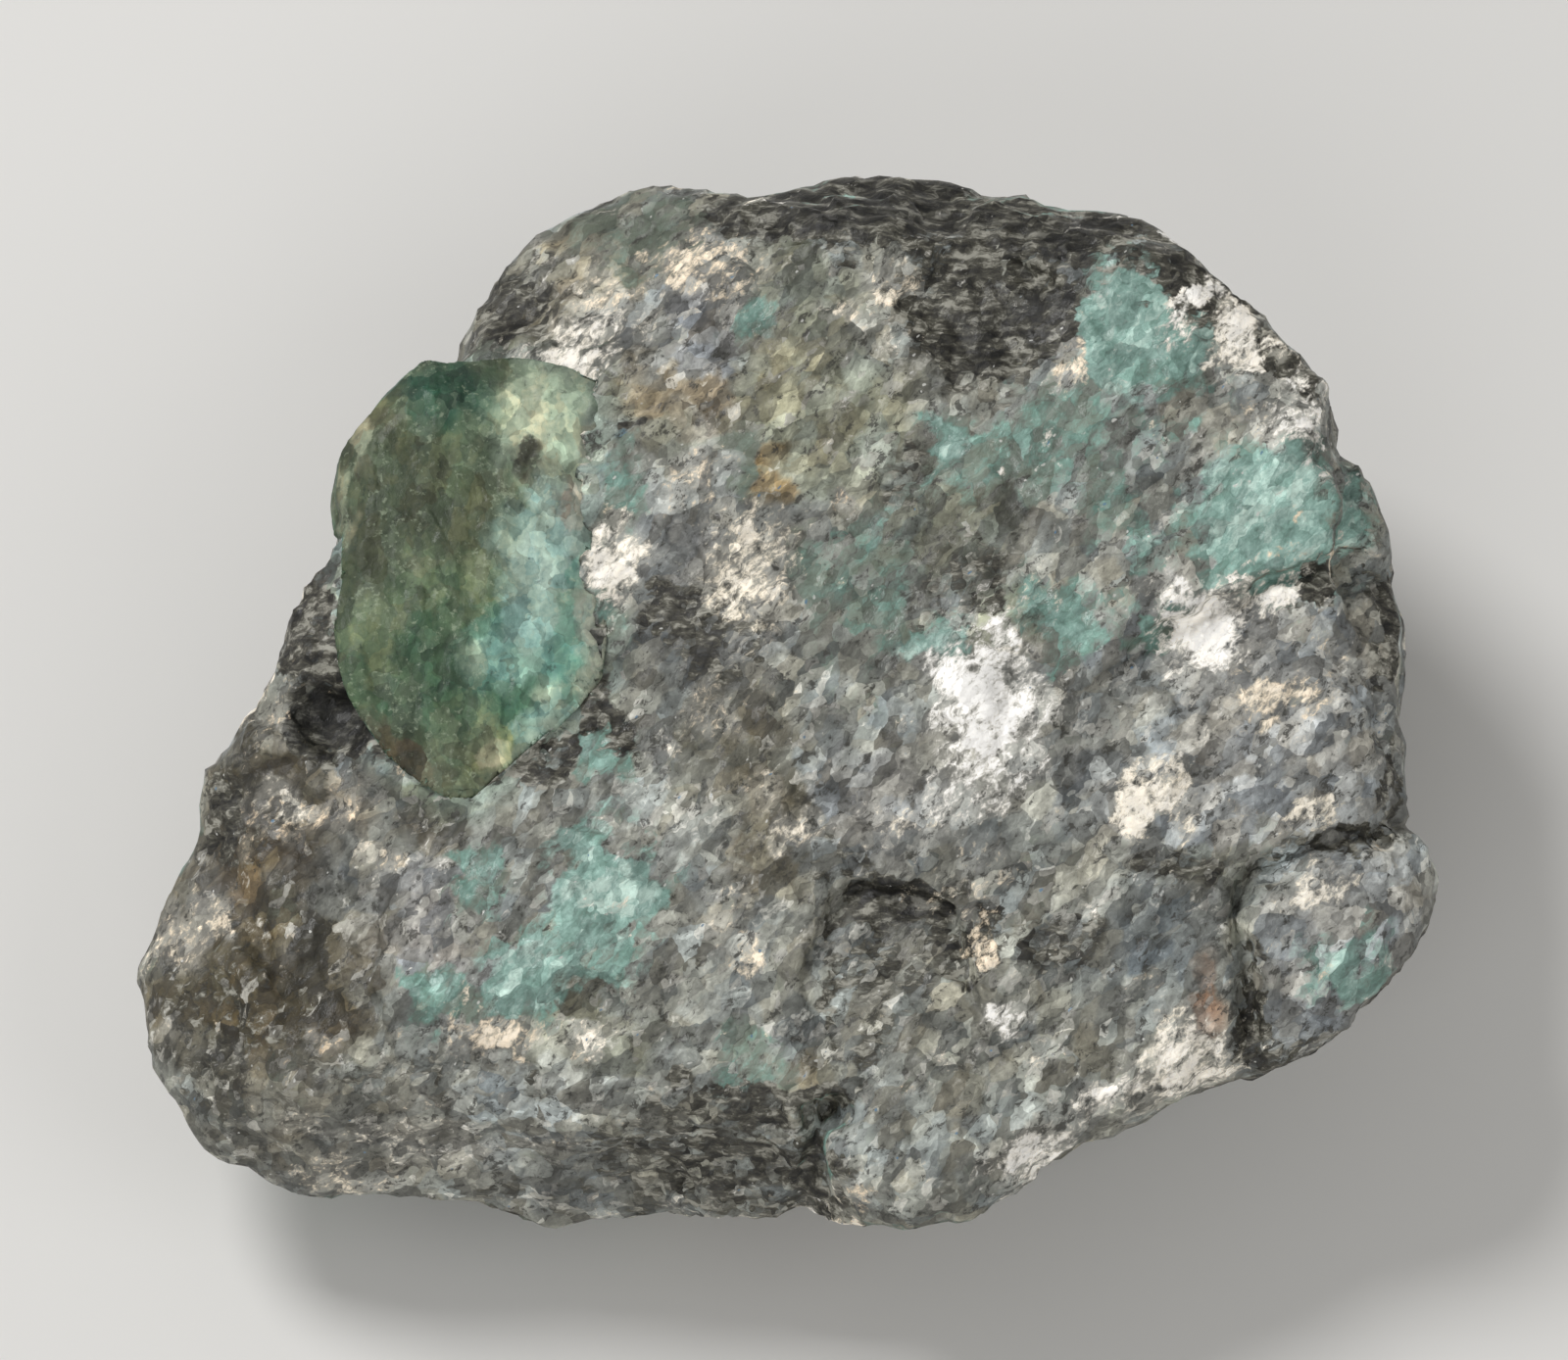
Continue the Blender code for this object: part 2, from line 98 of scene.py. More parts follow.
# The noise: what stirs a cell's whole numbers into random ones, and what brings each sum to about
# one either way
HASH_AXES = (0x8DA6B343, 0xD8163841, 0xCB1AB31F)
HASH_SEED = 0x9E3779B9
HASH_STIRS = ((16, 0x7FEB352D), (15, 0x846CA68B))
LARGEST_WORD = 0xFFFFFFFF
WAVE_GAIN = 2.4
CLOUD_GAIN = 1.6
OCTAVE_SEEDS = 17
GRAIN_SHAKE = 0.4

# Corners of the patches: 2 would make them ellipses, and more makes them squarer
PATCH_POWER = 2.4

# How many times lighter one whole step of light makes a colour
CONTRAST = 3.0

# The lamps, in metres and watts: each one's place, width and power
LAMPS = {
    "key": ((-0.7, 0.55, 1.15), 0.5, 12.5),
    "fill": ((0.9, -0.5, 0.9), 1.0, 2.5),
    "front": ((-0.3, -1.1, 0.75), 1.0, 4.5),
}
SKY_COLOUR = (1.0, 0.995, 0.975, 1.0)
SKY_STRENGTH = 0.3

# The floor, in metres
FLOOR_REACH = 6.0
FLOOR_DROP = 0.0003
FLOOR_COLOUR = (0.74, 0.73, 0.71, 1.0)
FLOOR_ROUGHNESS = 0.9

# The camera: its distance, the width that it frames there, and how far it sees, in metres
CAMERA_AWAY = 2.4
FRAME_WIDTH = 0.1792
CAMERA_SIGHT = 50.0
SENSOR_WIDTH = 36.0

# Each patch below is a name, its place across and along, its half width and half height, its turn
# in degrees and its strength. Greens end with a tone, from dull olive to pale mint, and whites with
# a warmth, from white to orange.
GREENS = [
    ("top_dull", -17.5, 51, 8.2, 3.5, 10, 0.6, 0.08),
    ("top_lobe", -3.5, 41.5, 3.5, 2.5, 0, 0.7, 0.45),
    ("corner_pale", 41.5, 41, 7.4, 7.3, -20, 0.85, 0.82),
    ("corner_core", 42.5, 38.5, 6, 4.1, 0, 1, 0.78),
    ("band", 29, 27, 12, 5.2, 15, 0.62, 0.4),
    ("band_bright", 19, 26, 2.2, 2.5, 20, 1, 0.8),
    ("right_teal", 56, 19, 7.7, 7.6, 0, 0.9, 0.8),
    ("middle", 8, 13, 6.6, 6.9, 0, 0.55, 0.32),
    ("middle_low", 10, 5.5, 4.5, 5, 0, 0.5, 0.3),
    ("saturated", 42.5, 5.5, 2.1, 2.6, 20, 1, 0.5),
    ("pale", 32, 7, 4.5, 4.1, 20, 0.7, 0.6),
    ("mint", 17.5, 4, 3.5, 2.9, 0, 0.85, 0.9),
    ("blade_dull", -4.5, 26, 2.2, 3, 0, 0.6, 0.05),
    ("knob", 65, -32, 4.2, 3.9, 30, 0.7, 0.85),
    ("slate", -3.5, -44, 4.3, 4.6, 0, 0.5, 0.3),
    ("a", -35, -22.5, 3.2, 4.3, 10, 0.8, 0.5),
    ("b", -21, -23.5, 5, 5.2, 0, 1, 0.84),
    ("b_flake", -19.5, -23.5, 1.8, 4, 15, 1, 1),
    ("c", -26, -32, 9.2, 4.7, 25, 0.75, 0.8),
    ("d", -41, -36.5, 3, 3.5, 0, 1.3, 0.42),
    ("beside", -20.5, 8.5, 2.5, 3.2, 0, 0.7, 0.45),
    ("below", -21.5, -8, 2.8, 3.6, 0, 0.6, 0.6),
    ("beside_top", -19.5, 22, 3.1, 4.8, 0, 0.5, 0.4),
    ("far_right", 37.5, 20, 3.9, 5, 0, 0.55, 0.4),
    ("corner_low", 46, 32.5, 4.5, 2.8, 0, 0.5, 0.6),
    ("edge_low", 43.5, 13, 4.5, 2.2, 10, 0.5, 0.6),
    ("d_low", -36, -39, 4.5, 1.2, 0, 0.6, 0.3),
]

# White feldspar; the big and rim_bright patches also paint highlights, as marked below
WHITES_AND_HIGHLIGHTS = [
    ("star", -19.5, 14, 3.5, 3.8, 20, 1, 0.35),
    ("star_tail", -21.5, 9.5, 1.7, 2, 0, 0.7, 0.3),
    ("above_crystal", -23, 38, 6.4, 3.9, 25, 0.82, 0.3),
    ("above_crystal_2", -22, 43.5, 4.2, 2.5, 30, 0.5, 0.6),
    ("above_left", -30, 36.5, 3.4, 1.7, 0, 0.7, 0.25),
    ("top_cream", -8.5, 47.5, 7.2, 2.7, 0, 0.75, 0.75),
    ("top_pink", 11, 44.5, 3.5, 3.8, 20, 0.85, 0.6),
    ("corner_flake", 34, 37, 1.7, 4, 0, 0.7, 0.7),
    ("corner_streak", 46.5, 44, 2.1, 4.2, -30, 1, 0.2),
    ("rim_sugar", 52.5, 38.5, 3.6, 3.4, -35, 1.1, 0.35),
    ("rim_sugar_2", 59, 31, 4.3, 5, -30, 0.9, 0.15),
    ("rim_low", 61, 26, 2.6, 2.2, 0, 0.6, 0.1),
    ("under_edge", 47.5, 6, 4.5, 5.5, 30, 1.15, 0.15),
    ("under_edge_2", 54.5, 11, 5, 3.2, 15, 0.8, 0.25),
    # big, with big_low and big_top round it: white feldspar, painted whitest here as the highlight
    # of a facet turned to the light
    ("big", 23.5, -3.5, 5.8, 9.1, 8, 1.15, 0),
    ("big_low", 20, -13, 4.5, 3.4, 30, 0.6, 0.1),
    ("big_top", 26, 3, 3.4, 2.8, 30, 0.7, 0.25),
    ("tilted", 56, -2.5, 4.3, 3, 30, 0.95, 0.7),
    ("patch", 42, -13.5, 3.2, 4.7, -10, 1, 0.45),
    ("flake_right", 60.5, -14, 3.1, 2, 10, 0.75, 0.5),
    ("knob_flake", 61, -24, 4.1, 2.7, 20, 0.65, 0.4),
    ("orange_spot", 5, 22, 1.8, 1.7, 0, 0.8, 0.85),
    ("streak", -4, 14, 5.4, 7.1, -20, 0.85, 0.5),
    ("streak_top", -10.5, 23.5, 3.3, 4.2, 0, 0.55, 0.7),
    ("ledge_spot", 68, 15, 1.5, 1.5, 0, 0.8, 0.5),
    # rim_bright, rim_bright_2 and rim_bright_3: feldspar along the lower-right rim, painted whiter
    # as the highlight where that edge catches the light
    ("rim_bright", 46, -44, 6.7, 4.5, 30, 0.9, 0.35),
    ("rim_bright_2", 29, -54.5, 5.7, 4.5, 35, 0.95, 0.2),
    ("rim_bright_3", 38, -48.5, 4.5, 2.5, 30, 0.8, 0.25),
    ("spot", 23, -38.5, 1.8, 2.1, 0, 0.95, 0.05),
    ("pink", 22.5, -30, 1.8, 2.8, 0, 0.75, 0.8),
    ("bottom", 9, -59, 3.2, 1.7, 0, 0.95, 0.8),
    ("spot_a", 3, -15, 1.5, 1.5, 0, 0.9, 0.3),
    ("spot_b", -4.5, -30.5, 1.8, 1.8, 0, 0.8, 0.7),
    ("orange_low", -33, -41.5, 4.5, 2.2, 8, 0.95, 0.75),
    ("left_yellow", -68.5, -28, 4.3, 3.6, 30, 0.6, 0.7),
    ("left_peach", -57.5, -16.5, 2.7, 3.4, 20, 0.65, 1),
    ("left_high", -58, -3.5, 4.5, 3.9, 30, 0.35, 0.8),
    ("pale_low", -22.5, -41, 4.5, 2.2, 20, 0.5, 0.4),
    ("left_low", -54.5, -42.5, 2.8, 1.4, 0, 0.6, 0.9),
    ("lower_pale", -43.5, -52, 6.7, 3.4, -20, 0.45, 0.3),
    ("spot_c", 1.5, -18, 1.7, 2, 0, 0.7, 0.5),
    ("row_mid", 13.5, -17, 4.5, 1.7, 30, 0.45, 0.4),
    ("tan_spot", -50, -14.5, 2.8, 3, 0, 0.5, 0.85),
    ("right_row", 48, -6.5, 3.4, 3.4, 0, 0.35, 0.2),
    ("spots_mid", -9, -3.5, 2.2, 3.9, 0, 0.4, 0.7),
    ("spot_d", -47, -21, 1.4, 1.4, 0, 0.7, 0.7),
    ("bottom_row", -12.5, -61.5, 14.6, 1, 0, 0.45, 0.4),
    ("left_bottom", -50, -58, 7.3, 2.5, -10, 0.6, 0.6),
    ("wall_pale", -37, -53.5, 5.6, 3.4, -20, 0.5, 0.1),
    ("diag", 20.5, -23, 5, 3.4, 35, 0.45, 0.6),
]

# Dark mica schist, and dark schist laid where the face lies in shade: the pit, notch, arch,
# band_low, under, groove, foot and edge_line_2 patches paint that shade
MICAS_AND_SHADE = [
    ("band_left", 5, 54.5, 15, 4.8, 3, 1.15),
    ("band_mid", 26.5, 53.5, 17.4, 5.2, -3, 1.1),
    ("hollow", 23.5, 42.5, 10.8, 8.4, 0, 0.95),
    ("hollow_pit", 28.5, 45, 2.8, 3.1, 0, 1.4),
    ("band_right", 49.5, 47, 9, 6.4, -35, 0.95),
    ("band_far", 59.5, 38.5, 4.5, 4.5, -40, 0.8),
    ("upper_left", -31.5, 43, 5.2, 4.5, 30, 0.7),
    ("upper_left_2", -26, 52, 7.8, 3.4, 20, 0.45),
    ("left_edge", -55, 6, 5, 9, 25, 0.85),
    ("left_dark", -64.5, -14.5, 4, 7.3, 20, 0.8),
    # pit: near-black schist in the deep pit by the crystal, painted as the shade inside it
    ("pit", -51, -5, 5.3, 4.3, 0, 1.45),
    ("wall", -8, -55, 14.3, 6.7, -5, 0.62),
    ("wall_left", -27.5, -58, 9.5, 4.5, -10, 0.3),
    # notch: dark schist at the step on top of the lower wall, painted as that step's shade
    ("notch", 5, -49, 3.2, 2.4, 0, 1),
    ("crack", 3, -56.5, 1.7, 5.6, 0, 1),
    # arch_top, arch_in, arch_right and arch_left: dark schist along and inside the arch ledge,
    # painted as the shade that falls under it
    ("arch_top", 13, -24.5, 8.4, 2.9, -10, 1.1),
    ("arch_in", 12, -35.5, 6.2, 9, 0, 0.42),
    ("arch_right", 21.5, -29.5, 2.8, 4.8, -35, 0.9),
    ("arch_left", 5.5, -35.5, 1.7, 12.3, 0, 0.7),
    # band_low: dark schist in the dark band of the groove left of the knob, painted as the shade in
    # that groove
    ("band_low", 43.5, -21.5, 5.9, 2.6, 0, 0.7),
    ("strip_right", 69, 6, 1.9, 6.7, 0, 0.95),
    # under: dark schist beneath the right cliff's edge, a painted shadow under that edge
    ("under", 60.5, 12, 4.3, 2.6, 10, 0.8),
    ("knob_edge", 53.5, -35.5, 1.5, 9, 0, 0.8),
    ("knob_low", 57.5, -42, 5, 2.5, 20, 0.5),
    ("dark_mid", -9, 5.5, 9, 6.2, 0, 0.6),
    # groove: dark schist down the knob's groove, painted as the shade in it
    ("groove", 63.5, -18, 8.4, 1.8, 15, 0.8),
    ("left_low", -62.5, -39.5, 10.1, 6.2, -20, 0.45),
    # foot and foot_2: dark schist along the crystal's lower-right edge, a painted shadow line where
    # the proud crystal casts its shade
    ("foot_shadow", -20.5, -3.5, 2.8, 3.9, 45, 0.8),
    ("foot_2", -27, -9.5, 4.5, 3.6, 40, 0.7),
    ("row_low", 31.5, -30.5, 6.7, 3.9, 20, 0.5),
    ("strip_low", 70, -11.5, 1.8, 6.2, 0, 0.8),
    ("dark_patch", -19.5, 29, 2.5, 1.8, 0, 0.9),
    ("edge_line", -35, -45, 21.5, 1.2, -2, 0.35),
    # edge_line_2: dark schist along the step on top of the lower wall, painted as the shade there
    ("edge_line_2", -5, -47.5, 11.8, 1.8, -8, 0.95),
    ("left_bottom", -64, -47.5, 7.8, 6.7, -25, 0.35),
    ("right_ledge", 66.5, 20.5, 2.9, 5.3, 0, 0.45),
    ("olive_edge", 13.5, 24, 4.5, 4.5, 40, 0.35),
    ("middle_dark", 22, 11.5, 7.3, 3.4, 20, 0.5),
]

# Tints of the quartz and of the crystal, each named after its colour; later ones lie over earlier
TINTS = [
    ("LAVENDER", -10.5, 41, 5, 5.4, 0, 0.9),
    ("BROWN", -30, 41.5, 6.3, 3.9, 20, 0.9),
    ("BEIGE", -24.5, 46.5, 6.7, 4.4, 20, 0.9),
    ("OLIVE", 2, 44, 6.3, 6.2, 0, 0.8),
    ("LAVENDER", 31, 40, 3.2, 4, 0, 0.9),
    ("PALE_OLIVE", 3.5, 30.5, 10.1, 8, -10, 1),
    ("OCHRE", -2, 24, 1.8, 2.5, 0, 0.8),
    ("GREY", 51.5, 30, 6.2, 6.3, 0, 0.8),
    ("DARK_OLIVE", 20, 17, 9, 7.7, 0, 0.85),
    ("TAUPE", 34.5, 15.5, 6.4, 6.4, 0, 0.9),
    ("TAUPE", 66.5, 19.5, 2.9, 6.3, 0, 0.7),
    ("YELLOW_GREEN", 25.5, 6.5, 3.9, 3.7, 0, 1),
    ("BLUE_GREY", 42, -28, 4.1, 5, 0, 0.85),
    ("LAVENDER", 50.5, -4, 21.3, 14.6, 0, 0.6),
    ("RUST", 47.5, -37, 2.3, 4, 10, 0.85),
    ("LILAC", 65, -31, 10.9, 13.4, 0, 0.9),
    ("SLATE", -12.5, 15.5, 3.9, 5, 0, 0.9),
    ("SLATE", -8.5, 5.5, 9.5, 6.7, 0, 0.7),
    ("BLUE", -20, 25.5, 1.2, 1.7, 0, 1),
    ("TAN", -16.5, 33, 4.4, 3.1, 0, 0.85),
    ("TAN", -9, 32, 3.4, 3.4, 0, 0.6),
    ("BROWN_OLIVE", -4.5, -12.5, 7.3, 12.9, 5, 0.9),
    ("BROWN_OLIVE", 4, -45.5, 4, 3.5, 0, 0.8),
    ("LAVENDER", -41.5, -28, 5.1, 6.5, 0, 1),
    ("PALE_GREY", -29, -47.5, 7.8, 4, 0, 1),
    ("BLUE_GREY", -48.5, -11, 5.6, 3.1, 0, 0.9),
    ("TAN", -50, -14.5, 2.8, 3.2, 0, 0.8),
    ("BROWN", -40.5, -15, 3.6, 4.5, 0, 0.7),
    ("RED_BROWN", -59, -21, 6.3, 4.5, 20, 0.9),
    ("RED_BROWN", -54.5, -40.5, 3.6, 3.1, 0, 0.8),
    ("BROWN", -60.5, -34.5, 13.4, 11.2, 0, 0.85),
    ("SLATE", -48.5, -27.5, 3.9, 7.8, 20, 0.5),
    ("BROWN", -60, -13, 8.4, 10.1, 30, 0.7),
    ("OLIVE", -23, -40.5, 7.4, 4.5, 0, 0.8),
    ("PALE_GREY", -8.5, -23, 8.4, 11.2, 0, 0.45),
    ("SLATE", -54.5, -53, 14, 6.4, 0, 0.35),
    ("BROWN", -52.5, -52, 15.7, 7.3, 0, 0.35),
    ("LAVENDER", 10, -14, 7.8, 6.7, 0, 0.6),
    ("BLUE_GREY", 37, -3, 5.6, 4.5, 0, 0.5),
    ("PALE_GREY", -11, -24, 6.7, 5.6, 0, 0.4),
    ("DARK_OLIVE", 52, -20.5, 6.2, 2.8, 0, 0.5),
    ("TAUPE", 24.5, -42, 13.4, 12.3, 0, 0.5),
    ("SLATE", -27, -57, 9, 5, 0, 0.4),
    ("BROWN", -23.5, 52, 3.4, 2.2, 0, 0.4),
    ("OLIVE", -13.5, 28, 4.5, 2.8, 0, 0.5),
    ("SLATE", -10.5, 41, 4.8, 5, 0, 0.4),
    ("DARK_OLIVE", 1.5, 44, 5.6, 5.3, 0, 0.45),
    ("PALE_GREY", 34, 16, 5.6, 6.2, 0, 0.6),
    ("PALE_GREY", 8.5, 13, 5.6, 6.7, 0, 0.45),
    ("BROWN_OLIVE", -16.5, 33, 4.8, 3, 0, 0.45),
    ("SLATE", -17, -21.5, 3.4, 5, 20, 0.3),
    ("PALE_GREY", 50.5, 30.5, 6.7, 6.7, 0, 1),
    ("PALE_GREY", 39, -3.5, 7.8, 6.2, 0, 0.6),
    ("LILAC", 58, -12, 12.3, 6.7, 0, 0.6),
    ("LILAC", 50.5, 7, 5.6, 7.8, 30, 0.5),
    ("DARK_BROWN", -59, -12, 8.4, 6.7, 30, 0.75),
    ("DARK_BROWN", -63.5, -34.5, 9.5, 9, 0, 0.75),
    ("DARK_BROWN", -56.5, -19, 4.8, 3.9, 20, 0.6),
    ("DARK_BROWN", -51.5, -36.5, 4.5, 6.7, 0, 0.4),
    ("DARK_BROWN", -1, -16, 4.2, 8.7, -8, 0.6),
    ("DARK_BROWN", 12.5, -35.5, 5.6, 9, 0, 0.3),
    ("DARK_BROWN", 20, 17, 8.1, 6.7, 0, 0.25),
]

CRYSTAL_TINTS = [
    ("GREEN_GREY", -36, 11.5, 15.7, 25.8, 0, 1),
    ("GREEN", -34.5, 2.5, 12.3, 12.3, 0, 0.6),
    ("DEEP", -38.5, 32.5, 6.4, 4.5, 0, 1),
    ("DEEP", -21, 32, 1.6, 2.5, 0, 0.7),
    ("SPECKLED", -46.5, 30, 3.9, 3.6, 40, 0.8),
    ("MINT", -27, 29.5, 6.3, 7.1, -8, 0.95),
    ("CREAM", -29, 29.5, 2.2, 5.6, 0, 0.5),
    ("CREAM", -49, 28.5, 1.3, 4.5, 12, 0.6),
    ("GREEN_PALE", -36.5, 27.5, 2.2, 3, 0, 0.7),
    ("GREY_GREEN", -43.5, 19, 6.7, 8.4, 0, 0.7),
    ("OLIVE_FLAKE", -36.5, 22, 1.8, 2.7, 15, 1),
    ("BROWN_SMEAR", -36.5, 18, 3.1, 5.9, -20, 0.6),
    ("BROWN_SMEAR", -33.5, 22.5, 3.4, 2.8, 20, 0.35),
    ("DARK_SPOT", -29.5, 25.5, 2, 1.9, 0, 1),
    ("GREEN_PALE", -26.5, 21, 4.8, 3.4, 10, 0.8),
    ("SPECKLED", -25.5, 24, 3.1, 1.9, 0, 0.6),
    ("AQUA_GREY", -24, 18, 3.1, 7.3, 20, 0.7),
    ("AQUA", -28.5, 11, 4.1, 9.1, 18, 1),
    ("AQUA", -26, 19.5, 2.4, 4.5, 18, 0.8),
    ("TEAL", -29, 2.5, 8, 6.7, 20, 0.95),
    ("TEAL_PALE", -31.5, 2.5, 4.5, 3.4, 20, 0.6),
    ("TEAL", -22.5, 10.5, 2.8, 4.5, 0, 0.9),
    ("AQUA", -29.5, 9, 3.4, 6, 18, 0.75),
    ("DEEP_GREEN", -40, 3, 5, 5, -10, 0.5),
    ("DEEP_GREEN", -32, -2.5, 5, 2.8, 0, 0.7),
    ("GREEN", -47, 0.5, 4.2, 5.6, 0, 0.6),
    ("OLIVE_FLAKE", -47, 6, 3.6, 4.5, -25, 0.75),
    ("OLIVE_FLAKE", -41.5, 11.5, 2.5, 4, 20, 0.5),
    ("OLIVE_FLAKE", -46.5, 0.5, 1.7, 1.7, 0, 0.7),
    ("OLIVE_FLAKE", -34.5, 11.5, 3.4, 3.4, 20, 0.6),
    ("MINT_FLAKE", -27, -2, 2, 2.2, 0, 0.9),
    ("MINT_FLAKE", -35.5, 2.5, 1.7, 2.2, 0, 0.5),
    ("TEAL_PALE", -27, -5.5, 4.5, 2.8, 30, 0.9),
    ("CREAM_YELLOW", -33.5, -8.5, 3.2, 3.5, 15, 1),
    ("CREAM", -33.5, -8, 1.5, 2.5, 10, 0.9),
    ("MINT", -22.5, -2, 1.2, 3.4, 30, 0.8),
    ("RUST_RIM", -43, -11, 3.9, 4.5, 40, 1),
    ("RUST_RIM", -47.5, -6.5, 2.8, 3.4, 40, 0.7),
    ("GREEN_PALE", -31, -11, 8.4, 2.5, 20, 0.6),
    ("GREEN_PALE", -37, -5.5, 4.7, 3.7, 15, 1),
    ("DEEP_GREEN", -39, -4, 3.4, 3.4, 0, 0.6),
    ("MINT_FLAKE", -31.5, 17, 1.7, 2, 0, 0.5),
    ("CREAM", -50.5, 20, 1.1, 5, 0, 0.35),
    ("ROSE", -24, 20.5, 1.6, 3.5, -15, 0.75),
    ("QUARTZ", -21.5, 27.5, 1.6, 3.6, 0, 0.8),
    ("QUARTZ", -21.5, 5, 2.1, 6.8, 0, 0.85),
    ("QUARTZ", -22.5, -3, 1.5, 2.5, -40, 0.5),
]


def srgb(red, green, blue):
    """A colour written as it looks on screen, from 0 to 255, as the light it gives back."""
    parts = np.array((red, green, blue)) / 255.0
    return np.where(parts <= 0.04045, parts / 12.92, ((parts + 0.055) / 1.055) ** 2.4)


ROCK_COLOURS = {
    "GREY": srgb(126, 129, 124),
    "PALE_GREY": srgb(150, 153, 148),
    "LAVENDER": srgb(135, 136, 137),
    "LILAC": srgb(158, 160, 159),
    "SLATE": srgb(100, 101, 99),
    "BLUE_GREY": srgb(104, 111, 113),
    "BLUE": srgb(84, 112, 128),
    "TAUPE": srgb(128, 129, 120),
    "BROWN": srgb(80, 72, 51),
    "DARK_BROWN": srgb(62, 55, 37),
    "BROWN_OLIVE": srgb(112, 108, 92),
    "RED_BROWN": srgb(96, 80, 62),
    "RUST": srgb(124, 92, 68),
    "OCHRE": srgb(150, 124, 78),
    "TAN": srgb(144, 130, 106),
    "BEIGE": srgb(150, 144, 124),
    "OLIVE": srgb(120, 122, 106),
    "DARK_OLIVE": srgb(96, 101, 90),
    "PALE_OLIVE": srgb(142, 143, 124),
    "YELLOW_GREEN": srgb(150, 156, 130),
    "GREEN_GREY": srgb(106, 124, 112),
}
EMERALD_COLOURS = {
    "GREEN_GREY": srgb(62, 73, 54),
    "GREY_GREEN": srgb(70, 77, 58),
    "GREEN": srgb(58, 86, 62),
    "DEEP": srgb(38, 72, 54),
    "DEEP_GREEN": srgb(48, 80, 56),
    "GREEN_PALE": srgb(98, 112, 86),
    "OLIVE_FLAKE": srgb(102, 114, 84),
    "SPECKLED": srgb(82, 86, 62),
    "MINT": srgb(164, 176, 152),
    "MINT_FLAKE": srgb(156, 176, 156),
    "CREAM": srgb(188, 188, 160),
    "CREAM_YELLOW": srgb(136, 142, 98),
    "BROWN_SMEAR": srgb(74, 80, 58),
    "DARK_SPOT": srgb(48, 48, 36),
    "AQUA": srgb(142, 168, 160),
    "AQUA_GREY": srgb(124, 144, 136),
    "TEAL": srgb(92, 136, 122),
    "TEAL_PALE": srgb(124, 156, 146),
    "RUST_RIM": srgb(76, 71, 53),
    "RIM": srgb(118, 124, 112),
    "QUARTZ": srgb(140, 147, 138),
    "ROSE": srgb(156, 148, 134),
}


def scatter(cells, seed):
    """Three repeatable numbers from 0 to 1 for each whole-number cell."""
    word = cells.astype(np.int64).astype(np.uint32)
    mixed = word[:, 0] * np.uint32(HASH_AXES[0]) ^ word[:, 1] * np.uint32(HASH_AXES[1])
    mixed ^= word[:, 2] * np.uint32(HASH_AXES[2])
    mixed ^= np.uint32(seed * HASH_SEED & LARGEST_WORD)
    numbers = []
    for _ in range(3):
        for shift, factor in HASH_STIRS:
            mixed ^= mixed >> np.uint32(shift)
            mixed *= np.uint32(factor)
        mixed ^= mixed >> np.uint32(16)
        numbers.append(mixed / float(LARGEST_WORD))
    return np.stack(numbers, axis=1)


def waves(points, size, seed):
    """Smooth noise about zero, with features of about the given size."""
    place = points / size
    base = np.floor(place).astype(np.int64)
    inside = place - base
    fade = inside**3 * (inside * (inside * 6 - 15) + 10)
    total = np.zeros(len(points))
    for corner in map(np.array, np.ndindex(2, 2, 2)):
        slope = scatter(base + corner, seed) - 0.5
        weight = np.prod(np.where(corner == 1, fade, 1 - fade), axis=1)
        total += weight * ((inside - corner) * slope).sum(axis=1)
    return total * WAVE_GAIN


def cloud(points, size, seed, octaves=4, roughness=0.55):
    """Noise like waves, with finer and weaker waves on top of the first."""
    total, amount, whole = np.zeros(len(points)), 1.0, 0.0
    for octave in range(octaves):
        total += amount * waves(points, size / 2**octave, seed + OCTAVE_SEEDS * octave)
        whole += amount
        amount *= roughness
    return total / whole * CLOUD_GAIN


def drift(points, size, seeds):
    """Waves in as many directions as there are seeds."""
    return np.stack([waves(points, size, seed) for seed in seeds], axis=1)


def grains(points, size, seed):
    """Each point's grain: its centre, three numbers of its own, and how far off its edge is."""
    place = points / size
    base = np.floor(place).astype(np.int64)
    nearest = np.full(len(points), np.inf)
    second = nearest.copy()
    centre = np.zeros_like(points)
    owner = base.copy()
    for shift in map(np.array, np.ndindex(3, 3, 3)):
        cell = base + shift - 1
        seeds = cell + scatter(cell, seed)
        gap = np.linalg.norm(place - seeds, axis=1)
        closer = gap < nearest
        second = np.where(closer, nearest, np.minimum(second, gap))
        nearest = np.where(closer, gap, nearest)
        centre[closer] = seeds[closer] * size
        owner[closer] = cell[closer]
    return centre, scatter(owner, seed + 1), (second - nearest) * size


def drawn_to_grains(points, size, seed, share):
    """Each point moved part of the way to the middle of its grain, so that edges follow grains."""
    shaken = points + drift(points, size, range(seed, seed + 3)) * size * GRAIN_SHAKE
    centre, numbers, _ = grains(shaken, size, seed + 3)
    return points + (centre - shaken) * share, numbers


def smoothstep(low, high, values):
    """0 at low and beyond, 1 at high and beyond, soft between; low may be the higher of the two."""
    share = np.clip((values - low) / (high - low), 0.0, 1.0)
    return share * share * (3.0 - 2.0 * share)


def mixed_in(first, second, share):
    """So much of the second in the first."""
    return first + (second - first) * share


def face_places(points):
    """Where each point lies on the broken face, across and along."""
    offset = points - FACE_ORIGIN
    return np.stack([offset @ ACROSS, offset @ ALONG], axis=1)


def below_face(points):
    """How far each point lies below the broken face's general level."""
    offset = points - FACE_ORIGIN
    return -FACE_FALL * (offset @ ALONG) - offset @ OUT


